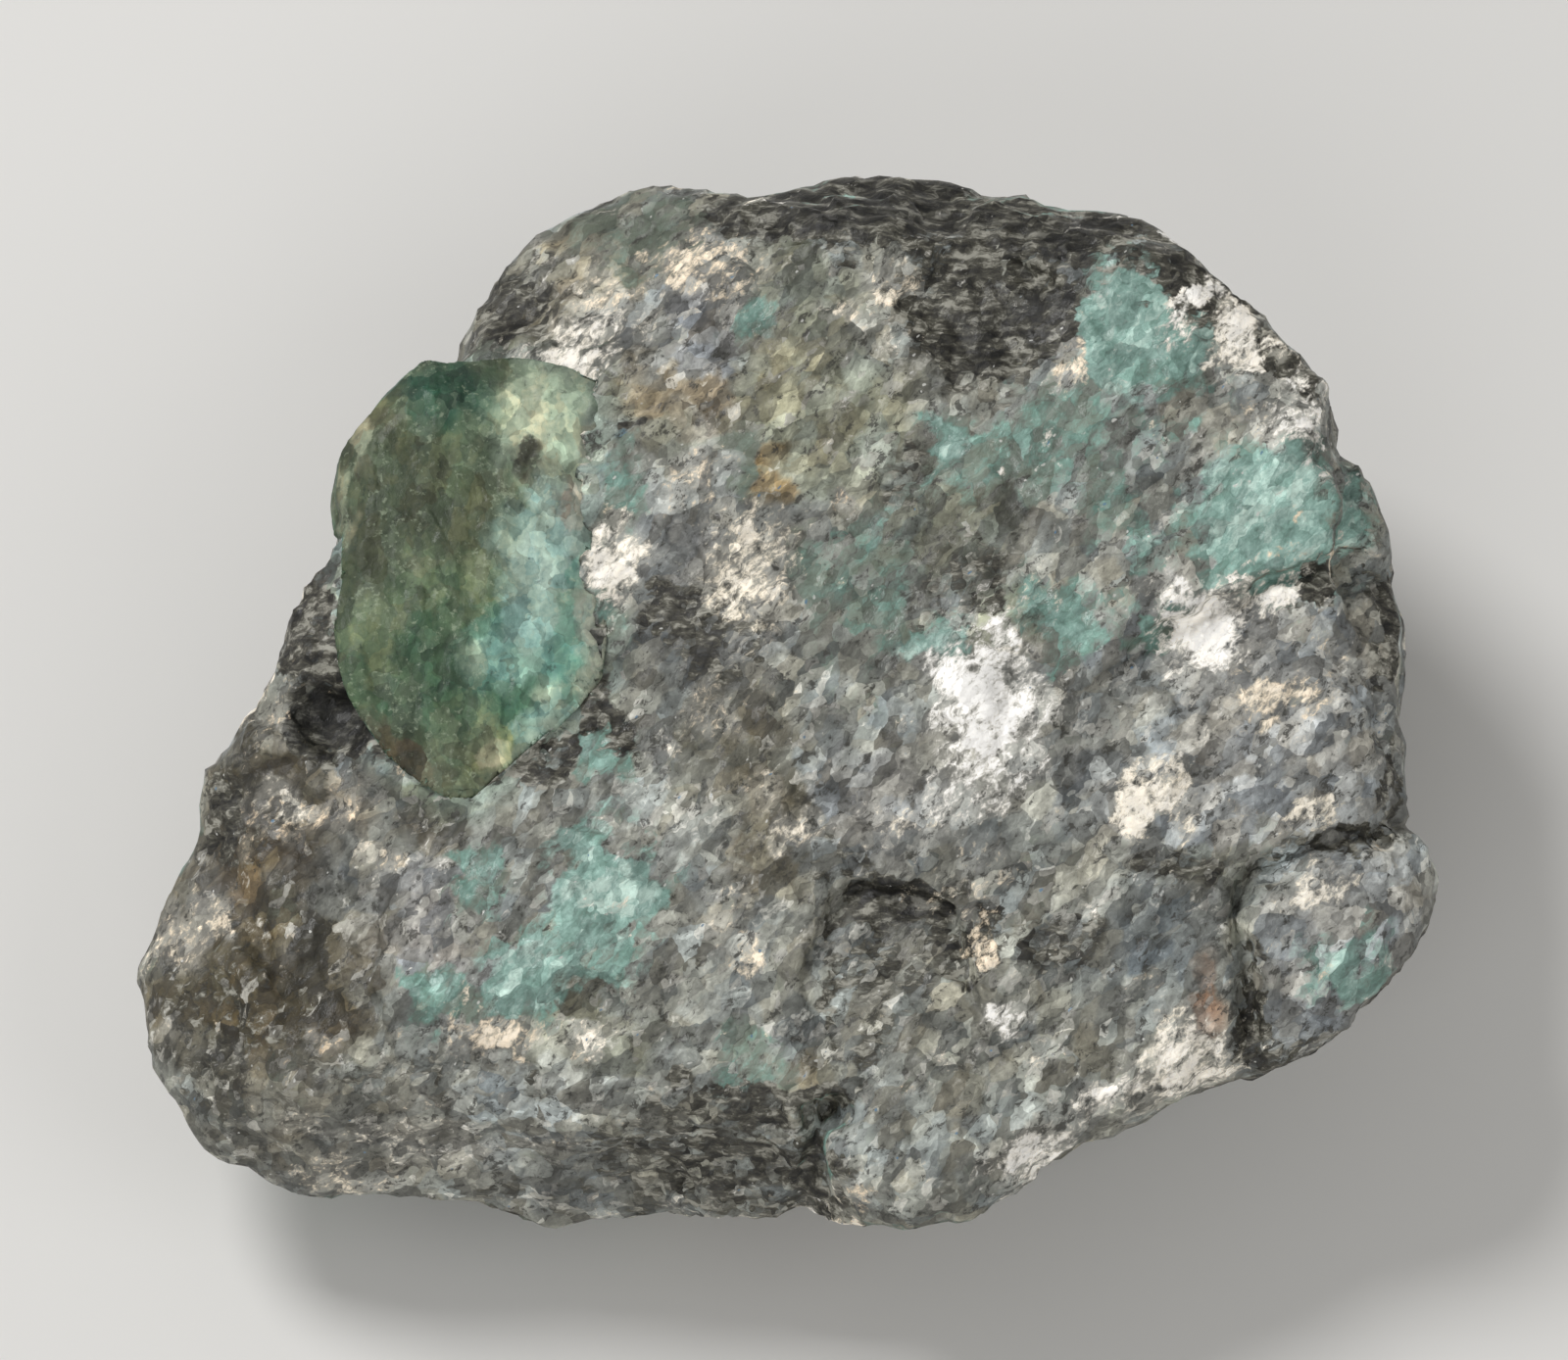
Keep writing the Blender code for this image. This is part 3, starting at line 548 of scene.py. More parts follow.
def merged(mesh):
    """The mesh's points in millimetres, each once, and its triangles."""
    points = np.empty(len(mesh.vertices) * 3)
    mesh.vertices.foreach_get("co", points)
    points = points.reshape(-1, 3) / MM
    mesh.calc_loop_triangles()
    faces = np.empty(len(mesh.loop_triangles) * 3, dtype=np.int32)
    mesh.loop_triangles.foreach_get("vertices", faces)
    near = np.round(points, 3)
    _, first, which = np.unique(near, axis=0, return_index=True, return_inverse=True)
    faces = which.reshape(-1)[faces.reshape(-1, 3)]
    apart = faces != np.roll(faces, -1, axis=1)
    return points[first], faces[apart.all(axis=1)]


def normals_of(points, faces):
    """The way that the surface looks at each point."""
    corner = points[faces]
    cross = np.cross(corner[:, 1] - corner[:, 0], corner[:, 2] - corner[:, 0])
    normals = np.zeros_like(points)
    for side in range(3):
        np.add.at(normals, faces[:, side], cross)
    return normals / np.maximum(np.linalg.norm(normals, axis=1), 1e-12)[:, None]


def edges_of(faces):
    """Each edge once, and for each triangle the edges from its first, second and third corners."""
    ends = np.sort(faces[:, [0, 1, 1, 2, 2, 0]].reshape(-1, 2), axis=1).astype(np.int64)
    keys, which = np.unique(ends[:, 0] * 2**32 + ends[:, 1], return_inverse=True)
    return np.stack([keys >> 32, keys & (2**32 - 1)], axis=1), which.reshape(-1, 3)


def split_long_edges(points, faces, longest):
    """Halves each edge that is longer than its place allows, and joins the triangles up again."""
    edges, which = edges_of(faces)
    ends = points[edges]
    long = np.linalg.norm(ends[:, 0] - ends[:, 1], axis=1) > longest[edges].min(axis=1)
    halves = np.full(len(edges), -1)
    halves[long] = len(points) + np.arange(long.sum())
    points = np.vstack([points, ends[long].mean(axis=1)])
    middle = halves[which]
    count = (middle >= 0).sum(axis=1)
    made = [faces[count == 0]]
    for number in (1, 2, 3):
        for turn in range(3 if number < 3 else 1):
            order = [turn, (turn + 1) % 3, (turn + 2) % 3]
            wanted = middle[:, order] >= 0
            if number == 1:
                chosen = (count == 1) & wanted[:, 0]
            elif number == 2:
                chosen = (count == 2) & wanted[:, 0] & wanted[:, 1]
            else:
                chosen = count == 3
            a, b, c = faces[chosen][:, order].T
            ab, bc, ca = middle[chosen][:, order].T
            if number == 1:
                corners = [(a, ab, c), (ab, b, c)]
            elif number == 2:
                corners = [(ab, b, bc), (a, ab, bc), (a, bc, c)]
            else:
                corners = [(a, ab, ca), (ab, b, bc), (ca, bc, c), (ab, bc, ca)]
            made += [np.stack(corner, axis=1) for corner in corners]
    return points, np.vstack(made), long.any()


def refined(points, faces, fine, coarse):
    """The surface cut fine where it faces the camera's side, and coarser elsewhere."""
    for _ in range(MOST_CUTS):
        facing = normals_of(points, faces) @ OUT
        seen = smoothstep(0.05, 0.3, facing) * (below_face(points) < FINE_DEPTH)
        points, faces, changed = split_long_edges(points, faces, mixed_in(coarse, fine, seen))
        if not changed:
            break
    return points, faces


def evened(points, faces, free):
    """Each point drawn to the middle of its neighbours, as far as free lets it."""
    edges, _ = edges_of(faces)
    count = np.bincount(edges.ravel(), minlength=len(points))[:, None]
    for _ in range(SMOOTH_PASSES):
        total = np.zeros_like(points)
        np.add.at(total, edges[:, 0], points[edges[:, 1]])
        np.add.at(total, edges[:, 1], points[edges[:, 0]])
        points = points + (total / count - points) * SMOOTH_SHARE * free[:, None]
    return points


def patch_cover(places, patches, whole, gone):
    """How strongly each patch covers each place: fully up to a share of its reach, then less."""
    for _, across, along, half_across, half_along, turn, strength, *tone in patches:
        angle = math.radians(turn)
        offset = places - (across, along)
        first = offset[:, 0] * math.cos(angle) + offset[:, 1] * math.sin(angle)
        second = offset[:, 1] * math.cos(angle) - offset[:, 0] * math.sin(angle)
        reach = np.abs(first / half_across) ** PATCH_POWER
        reach = (reach + np.abs(second / half_along) ** PATCH_POWER) ** (1 / PATCH_POWER)
        yield strength * smoothstep(gone, whole, reach), tone


def blended(places, patches, colours, ground, whole, gone):
    """The ground colour with each patch's colour laid over it in turn."""
    colour = np.tile(ground, (len(places), 1))
    for (name, *_), (cover, _) in zip(patches, patch_cover(places, patches, whole, gone)):
        colour += (colours[name] - colour) * cover[:, None]
    return colour


def covered(places, patches, whole, gone):
    """The most that any patch covers each place, and the tone of the patch that does."""
    most = np.zeros(len(places))
    tones = np.zeros(len(places))
    for cover, tone in patch_cover(places, patches, whole, gone):
        more = cover > most
        most = np.where(more, cover, most)
        tones = np.where(more, tone[0] if tone else 0.0, tones)
    return most, tones


def face_minerals(points, flat, crystal_away):
    """Green, white, mica and tone, ground colour and warmth, as the patches lay them out; the white
    holds painted highlights and the mica painted shade.
    """
    wander = drift(points, 8.0, (57, 58)) * 3.4
    wander += drift(points, 3.4, (59, 60)) * 1.6
    places = face_places(flat) + wander
    green, tone = covered(places, GREENS, whole=0.45, gone=1.75)
    white, warmth = covered(places, WHITES_AND_HIGHLIGHTS, whole=0.1, gone=1.75)
    mica, _ = covered(places, MICAS_AND_SHADE, whole=0.5, gone=1.5)

    # Small flecks of feldspar between the patches, but not in the mica
    flecks = smoothstep(0.12, 0.5, cloud(flat, size=6.0, seed=79)) * 0.42
    flecks = flecks * (1.0 - smoothstep(0.15, 0.6, mica))
    fleck_warmth = np.clip(0.45 + 1.2 * waves(points, size=14.0, seed=80), 0.0, 1.0)
    warmth = np.where(white < flecks, fleck_warmth, warmth)
    white = np.maximum(white, flecks)

    grey = ROCK_COLOURS["GREY"]
    ground = blended(places, TINTS, ROCK_COLOURS, grey, whole=0.5, gone=1.45)
    beside = smoothstep(5.0, 0.5, crystal_away)
    ground = mixed_in(ground, ROCK_COLOURS["GREEN_GREY"], (0.55 * beside)[:, None])
    return np.stack([green, white, mica, tone], axis=1), ground, warmth


def inner_minerals(points, flat):
    """The same rows where no patch is laid out, from noise in the rock."""
    green = smoothstep(0.10, 0.42, cloud(flat, size=24.0, seed=71)) * 0.9
    white = smoothstep(0.12, 0.5, cloud(flat, size=9.0, seed=72)) * 0.95
    layered = flat * (1.0, 1.0, 2.2)
    mica = smoothstep(-0.15, 0.35, cloud(layered, size=20.0, seed=73)) * 0.95
    tone = np.clip(0.5 + cloud(points, size=15.0, seed=74) * 1.1, 0.0, 1.0)
    warmth = np.clip(0.35 + cloud(points, size=19.0, seed=75) * 1.3, 0.0, 1.0)
    brown = smoothstep(-0.05, 0.4, cloud(points, size=30.0, seed=76))[:, None]
    pale = smoothstep(0.0, 0.5, cloud(points, size=17.0, seed=77))[:, None]
    ground = mixed_in(ROCK_COLOURS["GREY"], ROCK_COLOURS["BROWN_OLIVE"], brown)
    ground = ground + (ROCK_COLOURS["LAVENDER"] - ground) * pale * 0.7
    return np.stack([green, white, mica, tone], axis=1), ground, warmth


def rock_minerals(points, normals, crystal_away):
    """Green, white, mica and tone at each point, and the ground colour with the white's warmth."""
    flat, numbers = drawn_to_grains(points, size=4.2, seed=61, share=0.6)
    flat, small = drawn_to_grains(flat, size=2.0, seed=66, share=0.5)
    minerals, ground, warmth = face_minerals(points, flat, crystal_away)
    inner, inner_ground, inner_warmth = inner_minerals(points, flat)
    seen = smoothstep(0.12, 0.42, normals @ OUT)
    seen *= below_face(points) < PATCH_DEPTH
    minerals = mixed_in(inner, minerals, seen[:, None])
    ground = mixed_in(inner_ground, ground, seen[:, None])
    warmth = mixed_in(inner_warmth, warmth, seen)

    # No two grains alike, in what they hold, how light and how cool they are
    unlike = np.column_stack([numbers, small[:, 1]]) - 0.5
    minerals += unlike * (0.2, 0.2, 0.3, 0.2)
    light = (numbers[:, 0] - 0.5) * 0.45 + (small[:, 2] - 0.5) * 0.25
    light += cloud(points, size=6.0, seed=78) * 0.6
    ground = ground * (CONTRAST**light)[:, None]
    cool = (numbers[:, 1] - 0.5)[:, None] * (-0.08, 0.0, 0.12)
    return minerals, np.column_stack([ground * (1.0 + cool), warmth])


def crystal_colours(points, normals, rock_away):
    """The crystal's colour at each point."""
    slim = (1.0, 0.85, 0.95)
    flat, numbers = drawn_to_grains(points * slim, size=2.2, seed=81, share=0.5)
    flat = flat / slim
    wander = drift(points, 5.0, (86, 87)) * (1.0, 1.3)
    wander += drift(points, 1.6, (88, 89)) * (0.7, 0.9)
    places = face_places(flat) + wander
    main = EMERALD_COLOURS["GREEN_GREY"]
    colour = blended(places, CRYSTAL_TINTS, EMERALD_COLOURS, main, whole=0.55, gone=1.3)
    rim = smoothstep(2.6, 0.4, rock_away + 1.6 * waves(points, size=2.0, seed=91))
    rim *= smoothstep(*SEAT_ACROSS, places[:, 0])
    colour = mixed_in(colour, EMERALD_COLOURS["RIM"], (0.55 * rim)[:, None])

    teal = smoothstep(-0.2, 0.4, cloud(points, size=9.0, seed=85))[:, None]
    inner = mixed_in(EMERALD_COLOURS["DEEP_GREEN"], EMERALD_COLOURS["TEAL"], teal)
    colour = mixed_in(inner, colour, smoothstep(0.1, 0.4, normals @ OUT)[:, None])
    light = (numbers[:, 0] - 0.5) * 0.28
    light += cloud(points * (1.0, 0.7, 1.0), size=4.0, seed=90) * 0.4
    return colour * (CONTRAST**light)[:, None]


def rock_relief(points, minerals):
    """How far each point of the rock stands out: broken grains, and mica in ragged sheets."""
    shaken = points + drift(points, 3.0, (21, 22, 23)) * 1.2
    total = np.zeros(len(points))
    for size, step, slope, seed in ROCK_GRAINS:
        centre, numbers, edge = grains(shaken, size, seed)
        clear = smoothstep(0.0, size * 0.2, edge)
        total += step * (numbers[:, 0] - 0.5) * clear
        total += slope * ((shaken - centre) * (numbers - 0.5)).sum(axis=1) * (0.3 + 0.7 * clear)
    total *= 1.0 - 0.4 * np.clip(minerals[:, 0], 0.0, 1.0)
    drawn = points * (0.3, 1.0, 1.0)
    fibres = waves(drawn, size=1.9, seed=41) + 0.6 * waves(drawn, size=3.6, seed=42)
    total += 0.4 * fibres * np.clip(minerals[:, 2], 0.0, 1.0)
    return total + cloud(points, size=2.8, seed=43, octaves=2) * 0.16


def crystal_relief(points):
    """How far each point of the crystal stands out: shallow steps and tilted flakes."""
    slim = points * (1.0, 0.4, 1.0)
    relief = waves(slim, size=3.2, seed=51) * 0.2 + waves(points, size=1.4, seed=52) * 0.05
    shaken = slim + drift(points, 2.0, (53, 54, 55)) * 0.8
    centre, numbers, edge = grains(shaken, size=2.4, seed=56)
    relief += 0.16 * (numbers[:, 0] - 0.5) * smoothstep(0.0, 0.5, edge)
    return relief + 0.12 * ((shaken - centre) * (numbers - 0.5)).sum(axis=1)


def nearness(points, node):
    """How far each point is from a node's surface, and which way it is."""
    corners, faces = merged(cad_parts[node].data)
    tree = BVHTree.FromPolygons(corners.tolist(), faces.tolist())
    towards = np.array([tree.find_nearest(point)[0][:] for point in points.tolist()]) - points
    away = np.linalg.norm(towards, axis=1)
    return away, towards / np.maximum(away, 1e-6)[:, None]


def kept_in(points, box):
    """The points held a hundredth of a millimetre inside a box that is given in metres."""
    low, high = (np.array(corner) / MM for corner in box)
    return np.clip(points, low + 0.01, high - 0.01)


def new_piece(name, points, faces):
    """An object in the scene, made of triangles between points in millimetres."""
    mesh = bpy.data.meshes.new(name)
    mesh.vertices.add(len(points))
    mesh.vertices.foreach_set("co", (points * MM).astype(np.float32).ravel())
    mesh.loops.add(faces.size)
    mesh.loops.foreach_set("vertex_index", faces.ravel().astype(np.int32))
    mesh.polygons.add(len(faces))
    mesh.polygons.foreach_set("loop_start", np.arange(0, faces.size, 3, dtype=np.int32))
    mesh.polygons.foreach_set("use_smooth", np.ones(len(faces), dtype=bool))
    mesh.update(calc_edges=True)
    mesh.validate()
    piece = bpy.data.objects.new(name, mesh)
    bpy.context.scene.collection.objects.link(piece)
    return piece


def add_rows(mesh, name, rows):
    """Four numbers for each point, which the material reads under the name."""
    attribute = mesh.attributes.new(name, "FLOAT_COLOR", "POINT")
    attribute.data.foreach_set("color", rows.astype(np.float32).ravel())


def make_rock():
    """The host rock: cut finer, evened, broken into grains and lapped over the crystal's edge."""
    points, faces = merged(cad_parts["matrix"].data)
    points, faces = refined(points, faces, TOP_EDGE, SIDE_EDGE)
    away, towards = nearness(points, "large_emerald_crystal")
    free = smoothstep(0.5, 2.5, away)
    lapped = smoothstep(LAP_REACH, 0.3, away)
    lapped *= smoothstep(0.3, 0.6, normals_of(points, faces) @ OUT)
    lapped *= np.clip(0.6 + 2.2 * cloud(points, size=4.5, seed=92, octaves=3), 0.0, 2.0)
    lapped *= smoothstep(*LAP_ALONG, face_places(points)[:, 1])
    points = evened(points, faces, free)
    normals = normals_of(points, faces)
    minerals, _ = rock_minerals(points, normals, away)
    lifted = smoothstep(0.0, 2.5, points[:, 2]) * (0.35 + 0.65 * free)
    points = points + normals * (rock_relief(points, minerals) * lifted)[:, None]
    points = points + (towards * LAP_INWARD + OUT * LAP_UP) * lapped[:, None]
    points = kept_in(points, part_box("matrix"))
    minerals, ground = rock_minerals(points, normals_of(points, faces), away)
    piece = new_piece("host_rock", points, faces)
    add_rows(piece.data, "minerals", minerals)
    add_rows(piece.data, "ground", ground)
    return piece


def make_crystal():
    """The crystal: cut finer, evened, flaked and seated in the rock."""
    points, faces = merged(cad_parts["large_emerald_crystal"].data)
    points, faces = refined(points, faces, CRYSTAL_EDGE, SIDE_EDGE)
    points = evened(points, faces, np.ones(len(points)))
    normals = normals_of(points, faces)
    sideways = normals - (normals @ OUT)[:, None] * OUT
    across, along = face_places(points).T
    sunk = SEAT_SINK * smoothstep(*SEAT_ACROSS, across) * smoothstep(*SEAT_ALONG, along)
    relief = crystal_relief(points)
    points = points + normals * relief[:, None] + sideways * SEAT_SPREAD - OUT * sunk[:, None]
    rock_away, _ = nearness(points, "matrix")
    colour = crystal_colours(points, normals_of(points, faces), rock_away)
    piece = new_piece("emerald_crystal", points, faces)
    add_rows(piece.data, "ground", np.column_stack([colour, np.ones(len(points))]))
    return piece


class Nodes:
    """A material's node tree, with short names for what both materials are built from."""

    # Sockets of the mix node for colours, which go by number since its other modes share the names
    FACTOR, FIRST, SECOND, RESULT = 0, 6, 7, 2

    def __init__(self, name):
        self.material = bpy.data.materials.new(name)
        self.material.use_nodes = True
        self.tree = self.material.node_tree
        self.shader = self.tree.nodes["Principled BSDF"]

    def give(self, socket, value):
        """Links a socket to the value's own, or sets it to a plain value."""
        if isinstance(value, bpy.types.NodeSocket):
            self.tree.links.new(value, socket)
        else:
            socket.default_value = value

    def add(self, kind, inputs=(), **settings):
        """A new node of a kind, with its settings made and its inputs given."""
        node = self.tree.nodes.new(kind)
        for key, value in settings.items():
            setattr(node, key, value)
        for key, value in dict(inputs).items():
            self.give(node.inputs[key], value)
        return node

    def math(self, operation, first, second=0.0, third=0.0):
        values = {0: first, 1: second, 2: third}
        return self.add("ShaderNodeMath", values, operation=operation).outputs[0]

    def vector(self, operation, first, second=(0, 0, 0)):
        node = self.add("ShaderNodeVectorMath", {0: first, 1: second}, operation=operation)
        return node.outputs["Value" if operation == "DOT_PRODUCT" else "Vector"]

    def scaled(self, vector, factor):
        inputs = {0: vector, "Scale": factor}
        return self.add("ShaderNodeVectorMath", inputs, operation="SCALE").outputs[0]

    def drawn_out(self, vector, scale):
        """A place to read a pattern at, which draws the pattern out where scale is under one."""
        return self.add("ShaderNodeMapping", {"Vector": vector, "Scale": scale}).outputs[0]

    def centred(self, value, amount, base=0.0):
        """base, and so much of how far value is from a half."""
        return self.math("MULTIPLY_ADD", value, amount, self.math("ADD", base, -0.5 * amount))

    def brightness(self, light):
        return self.math("POWER", CONTRAST, light)

    def mix(self, factor, first, second):
        inputs = {self.FACTOR: factor, self.FIRST: first, self.SECOND: second}
        return self.add("ShaderNodeMix", inputs, data_type="RGBA").outputs[self.RESULT]

    def times(self, first, second):
        inputs = {self.FACTOR: 1.0, self.FIRST: first, self.SECOND: second}
        settings = {"data_type": "RGBA", "blend_type": "MULTIPLY"}
        return self.add("ShaderNodeMix", inputs, **settings).outputs[self.RESULT]

    def step(self, value, low, high, to_low=0.0, to_high=1.0):
        """A soft step from to_low at low to to_high at high."""
        inputs = {"Value": value, "From Min": low, "From Max": high}
        inputs |= {"To Min": to_low, "To Max": to_high}
        return self.add("ShaderNodeMapRange", inputs, interpolation_type="SMOOTHSTEP").outputs[0]

    def noise(self, vector, size, detail=4.0, roughness=0.55):
        inputs = {"Vector": vector, "Scale": 1.0 / size, "Detail": detail, "Roughness": roughness}
        return self.add("ShaderNodeTexNoise", inputs)

    def cells(self, vector, size):
        return self.add("ShaderNodeTexVoronoi", {"Vector": vector, "Scale": 1.0 / size})

    def parts(self, colour):
        """Red, green and blue."""
        return self.add("ShaderNodeSeparateColor", {0: colour}).outputs[:3]

    def ramp(self, value, *stops):
        """The colour at value, blended between the stops."""
        node = self.add("ShaderNodeValToRGB", {"Fac": value})
        first, last = node.color_ramp.elements
        first.position, first.color = stops[0][0], (*stops[0][1], 1.0)
        last.position, last.color = stops[-1][0], (*stops[-1][1], 1.0)
        for place, colour in stops[1:-1]:
            node.color_ramp.elements.new(place).color = (*colour, 1.0)
        return node.outputs["Color"]

    def place(self):
        """The place on the piece in millimetres."""
        return self.scaled(self.add("ShaderNodeTexCoord").outputs["Object"], 1 / MM)

    def shaking(self, vector, size):
        """A small shift that bends the straight edges of cells."""
        noise = self.noise(vector, size, detail=1.0)
        return self.vector("SUBTRACT", noise.outputs["Color"], (0.5, 0.5, 0.5))

    def tilted(self, vector, cells, amount):
        """Height of a random flat facet for each cell."""
        slope = self.vector("SUBTRACT", cells.outputs["Color"], (0.5, 0.5, 0.5))
        away = self.vector("SUBTRACT", vector, cells.outputs["Position"])
        return self.math("MULTIPLY", self.vector("DOT_PRODUCT", away, slope), amount)

    def finished(self, colour, roughness, height, strength):
        """The material with its colour, roughness and fine relief, given in millimetres."""
        bump = self.add("ShaderNodeBump", {"Height": height, "Distance": MM, "Strength": strength})
        self.give(self.shader.inputs["Base Color"], colour)
        self.give(self.shader.inputs["Roughness"], roughness)
        self.give(self.shader.inputs["Normal"], bump.outputs[0])
        return self.material


def rock_material():
    """Quartz, beryl, mica schist and feldspar, each where the mesh's rows put it."""
    n = Nodes("grained_host_rock")
    place = n.place()
    shaken = n.vector("ADD", place, n.scaled(n.shaking(place, 1.5), 1.0))
    turn = {"Vector": shaken, "Rotation": (0, 0, math.radians(50)), "Scale": (1.85, 1.0, 1.0)}
    turned = n.add("ShaderNodeMapping", turn, vector_type="TEXTURE").outputs[0]
    flakes = n.cells(turned, 2.5)
    chips = n.cells(turned, 1.1)
    flake_red, flake_green, flake_blue = n.parts(flakes.outputs["Color"])
    chip_red, chip_green, chip_blue = n.parts(chips.outputs["Color"])
    mottle = n.noise(turned, 1.1, roughness=0.75).outputs["Fac"]

    minerals = n.add("ShaderNodeAttribute", attribute_name="minerals")
    ground = n.add("ShaderNodeAttribute", attribute_name="ground")
    green, white, mica = n.parts(minerals.outputs["Color"])
    tone = minerals.outputs["Alpha"]
    warmth = ground.outputs["Alpha"]

    # Quartz: flakes of many greys, paler round the feldspar, with painted shade in its lowest dips
    light = n.centred(flake_red, 1.0)
    light = n.centred(chip_red, 0.6, light)
    light = n.centred(mottle, 2.0, light)
    light = n.math("MULTIPLY_ADD", flakes.outputs["Distance"], -0.3, n.math("ADD", light, 0.09))
    bright = n.brightness(light)
    quartz = n.scaled(ground.outputs["Color"], bright)
    hue = n.mix(flake_green, (1.07, 1.0, 0.9, 1.0), (0.96, 1.0, 1.04, 1.0))
    quartz = n.times(quartz, hue)
    pale = n.centred(mottle, 0.8, n.centred(flake_blue, 0.5, chip_green))
    pale = n.step(pale, 0.86, 1.04, to_high=0.6)
    pale = n.math("MAXIMUM", pale, n.step(white, 0.05, 0.6, to_high=0.5))
    quartz = n.mix(pale, quartz, n.scaled(srgb(172, 170, 162), bright))
    # Painted shade: where the mottle dips lowest, which the bump lowers too, the quartz is darkened
    # as the shade in the gaps between grains
    painted_gap_shade = n.step(n.centred(chip_blue, 0.14, mottle), 0.42, 0.34, to_high=0.8)
    quartz = n.mix(painted_gap_shade, quartz, (*srgb(54, 53, 47), 1.0))

    # Green beryl: smoother, from dull olive to pale mint
    reach = n.centred(flake_blue, 0.3, n.centred(chip_blue, 0.25, n.centred(mottle, 0.7, green)))
    green_cover = n.step(reach, 0.16, 0.62)
    hued = n.math("MULTIPLY_ADD", green, 0.3, n.math("MULTIPLY_ADD", tone, 0.9, -0.2))
    hued = n.centred(flake_green, 0.3, n.centred(chip_green, 0.25, n.centred(mottle, 0.7, hued)))
    beryl = n.ramp(
        hued,
        (0.0, srgb(104, 112, 98)),
        (0.28, srgb(110, 124, 113)),
        (0.5, srgb(108, 140, 129)),
        (0.75, srgb(136, 168, 158)),
        (1.0, srgb(182, 206, 195)),
    )
    beryl = n.scaled(beryl, n.brightness(n.math("MULTIPLY", light, 0.55)))
    colour = n.mix(green_cover, quartz, beryl)

    # Mica schist: dark ragged fibres, pale grey where the fibres run high; the painted glints are
    # laid over everything further down
    fibre = n.noise(n.drawn_out(shaken, (0.3, 1.0, 1.0)), 1.2, roughness=0.7).outputs["Fac"]
    mica_reach = n.centred(chip_blue, 0.4, n.centred(fibre, 1.2, mica))
    mica_cover = n.step(mica_reach, 0.36, 0.66)
    schist = n.ramp(
        n.centred(chip_red, 0.14, n.centred(flake_red, 0.1, fibre)),
        (0.32, srgb(16, 15, 12)),
        (0.45, srgb(48, 46, 39)),
        (0.55, srgb(84, 82, 72)),
        (0.66, srgb(158, 156, 145)),
    )
    # Darker still where a patch is stronger than whole: the schist band, and the painted shade of
    # the pit, the arch and the step on the lower wall
    schist = n.scaled(schist, n.step(mica, 0.85, 1.3, 1.0, 0.3))
    colour = n.mix(mica_cover, colour, schist)

    # White feldspar: sugary, cream or orange where it is warm; it also carries the painted
    # highlights that the big and rim_bright patches lay out
    sugar = n.noise(turned, 0.7, detail=3.0, roughness=0.7).outputs["Fac"]
    white_reach = n.centred(chip_green, 0.3, n.centred(mottle, 1.6, white))
    white_reach = n.centred(sugar, 1.5, n.centred(flake_blue, 0.25, white_reach))
    white_cover = n.step(white_reach, 0.4, 0.84)
    dense = n.ramp(
        white_reach,
        (0.4, srgb(170, 168, 161)),
        (0.62, srgb(194, 192, 185)),
        (0.84, srgb(228, 226, 220)),
        (1.0, srgb(254, 253, 250)),
    )
    warm = n.ramp(
        n.centred(mottle, 0.9, warmth),
        (0.1, (1.0, 0.99, 0.98)),
        (0.55, (1.0, 0.93, 0.81)),
        (1.0, (1.0, 0.82, 0.62)),
    )
    faint = n.brightness(n.math("MULTIPLY_ADD", light, 0.3, 0.05))
    colour = n.mix(white_cover, colour, n.scaled(n.times(dense, warm), faint))

    # Painted glints: at the odd chip a tiny pale spot, some of them blue, is laid into the colour
    # as a painted highlight where a clean face would catch the light
    painted_glint = n.step(chip_green, 0.86, 0.88)
    painted_glint = n.math("MULTIPLY", painted_glint, n.step(chips.outputs["Distance"], 0.16, 0.1))
    blue = n.step(chip_red, 0.8, 0.84)
    painted_glint_colour = n.mix(blue, (*srgb(206, 206, 200), 1.0), (*srgb(96, 130, 158), 1.0))
    colour = n.mix(n.math("MULTIPLY", painted_glint, 0.8), colour, painted_glint_colour)

    rough = n.centred(chip_blue, 0.35, 0.55)
    rough = n.math("MULTIPLY_ADD", green_cover, -0.1, rough)
    rough = n.math("MULTIPLY_ADD", white_cover, 0.15, rough)
    rough = n.math("MULTIPLY_ADD", painted_glint, -0.35, rough)
    rough = n.math("MAXIMUM", rough, 0.15)
    height = n.math("ADD", n.tilted(turned, chips, 0.24), n.tilted(turned, flakes, 0.14))
    height = n.math("MULTIPLY_ADD", mottle, 0.28, height)
    return n.finished(colour, rough, height, strength=0.8)


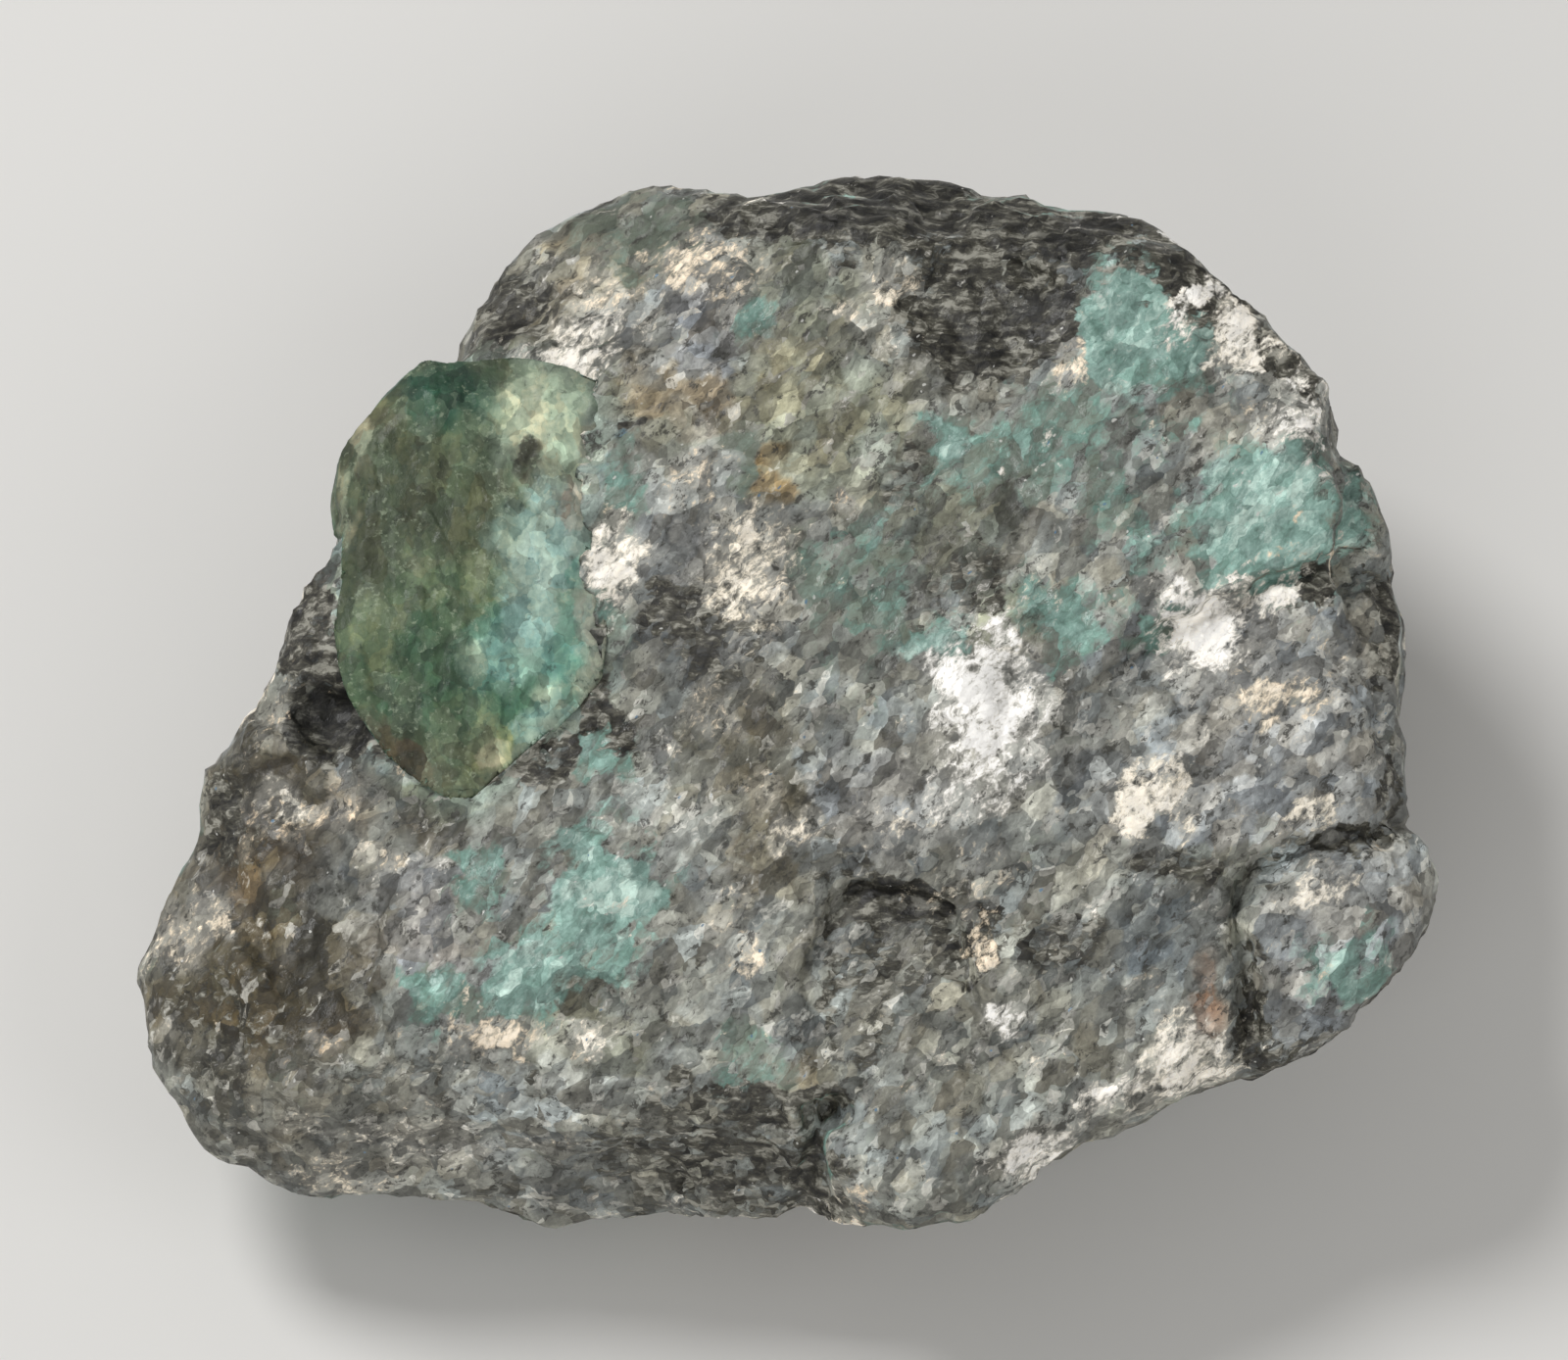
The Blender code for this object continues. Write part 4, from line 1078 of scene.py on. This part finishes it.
def emerald_material():
    """Rough beryl: the mesh's own colour, broken up by plates, flakes, streaks and crumbs."""
    n = Nodes("rough_emerald")
    place = n.place()
    shake = n.shaking(place, 1.4)
    drawn = n.drawn_out(n.vector("ADD", place, n.scaled(shake, 1.0)), (1.0, 0.75, 0.85))
    flakes = n.cells(drawn, 1.5)
    plates = n.cells(n.vector("ADD", drawn, n.scaled(shake, 0.8)), 2.9)
    streak = n.noise(drawn, 1.2, roughness=0.65).outputs["Fac"]
    crumbs = n.noise(place, 0.9, detail=3.0, roughness=0.7).outputs["Fac"]
    flake_red, flake_green, flake_blue = n.parts(flakes.outputs["Color"])
    plate_red, plate_green, plate_blue = n.parts(plates.outputs["Color"])
    ground = n.add("ShaderNodeAttribute", attribute_name="ground")

    # Cleavage plates and flakes, each of its own light and warmth
    light = n.centred(plate_red, 0.55, n.centred(flake_red, 0.45))
    light = n.centred(streak, 1.3, light)
    colour = n.scaled(ground.outputs["Color"], n.brightness(light))
    warm = n.step(n.centred(plate_green, 0.5, n.centred(flake_green, 0.3, streak)), 0.3, 0.7)
    colour = n.times(colour, n.mix(warm, (0.93, 1.02, 1.02, 1.0), (1.08, 1.0, 0.93, 1.0)))

    # Milky plates, pale crumbs and dark streaks
    clouded = n.step(n.centred(streak, 0.8, plate_blue), 0.55, 0.95, to_high=0.15)
    colour = n.mix(clouded, colour, (*srgb(142, 154, 130), 1.0))
    crumb = n.step(n.centred(plate_blue, 0.16, crumbs), 0.58, 0.74, to_high=0.42)
    colour = n.mix(crumb, colour, (*srgb(166, 178, 152), 1.0))
    dark = n.step(streak, 0.37, 0.3, to_high=0.5)
    colour = n.mix(dark, colour, (*srgb(44, 56, 44), 1.0))

    rough = n.centred(streak, 0.4, n.centred(flake_blue, 0.2, 0.55))
    height = n.math("ADD", n.tilted(drawn, flakes, 0.14), n.tilted(drawn, plates, 0.06))
    height = n.math("MULTIPLY_ADD", streak, 0.2, n.math("MULTIPLY_ADD", crumbs, 0.12, height))
    n.shader.inputs["IOR"].default_value = 1.57
    n.shader.inputs["Specular IOR Level"].default_value = 0.35
    return n.finished(colour, rough, height, strength=0.7)


def make_floor():
    """A plain pale floor, just under the stone."""
    grid = bmesh.new()
    bmesh.ops.create_grid(grid, x_segments=1, y_segments=1, size=FLOOR_REACH)
    mesh = bpy.data.meshes.new("floor")
    grid.to_mesh(mesh)
    grid.free()
    floor = bpy.data.objects.new("floor", mesh)
    floor.location.z = -FLOOR_DROP
    bpy.context.scene.collection.objects.link(floor)
    material = bpy.data.materials.new("pale_floor")
    material.use_nodes = True
    shader = material.node_tree.nodes["Principled BSDF"]
    shader.inputs["Base Color"].default_value = FLOOR_COLOUR
    shader.inputs["Roughness"].default_value = FLOOR_ROUGHNESS
    mesh.materials.append(material)


def light_the_studio():
    """Soft lamps and a dim pale sky."""
    world = bpy.data.worlds.new("studio")
    bpy.context.scene.world = world
    world.use_nodes = True
    sky = world.node_tree.nodes["Background"]
    sky.inputs["Color"].default_value = SKY_COLOUR
    sky.inputs["Strength"].default_value = SKY_STRENGTH
    for name, (place, width, power) in LAMPS.items():
        lamp = bpy.data.lights.new(name, "AREA")
        lamp.shape = "DISK"
        lamp.size = width
        lamp.energy = power
        light = bpy.data.objects.new(name, lamp)
        light.location = place
        light.rotation_euler = Vector(place).to_track_quat("Z", "Y").to_euler()
        bpy.context.scene.collection.objects.link(light)


def place_the_camera():
    """The camera square on to the broken face, as in the photograph."""
    lens = bpy.data.cameras.new("camera")
    lens.sensor_width = SENSOR_WIDTH
    lens.lens = SENSOR_WIDTH * CAMERA_AWAY / FRAME_WIDTH
    lens.clip_end = CAMERA_SIGHT
    eye = bpy.data.objects.new("camera", lens)
    eye.location = Vector(FACE_ORIGIN * MM) + Vector(OUT) * CAMERA_AWAY
    eye.rotation_euler = (math.pi / 2 - VIEW_RISE, 0.0, 0.0)
    bpy.context.scene.collection.objects.link(eye)
    bpy.context.scene.camera = eye


place_the_camera()
make_floor()
light_the_studio()
bpy.context.scene.view_settings.view_transform = "Standard"

rock = make_rock()
rock.data.materials.append(rock_material())
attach(rock, "root")
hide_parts("matrix")

crystal = make_crystal()
crystal.data.materials.append(emerald_material())
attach(crystal, "root")
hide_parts("large_emerald_crystal")
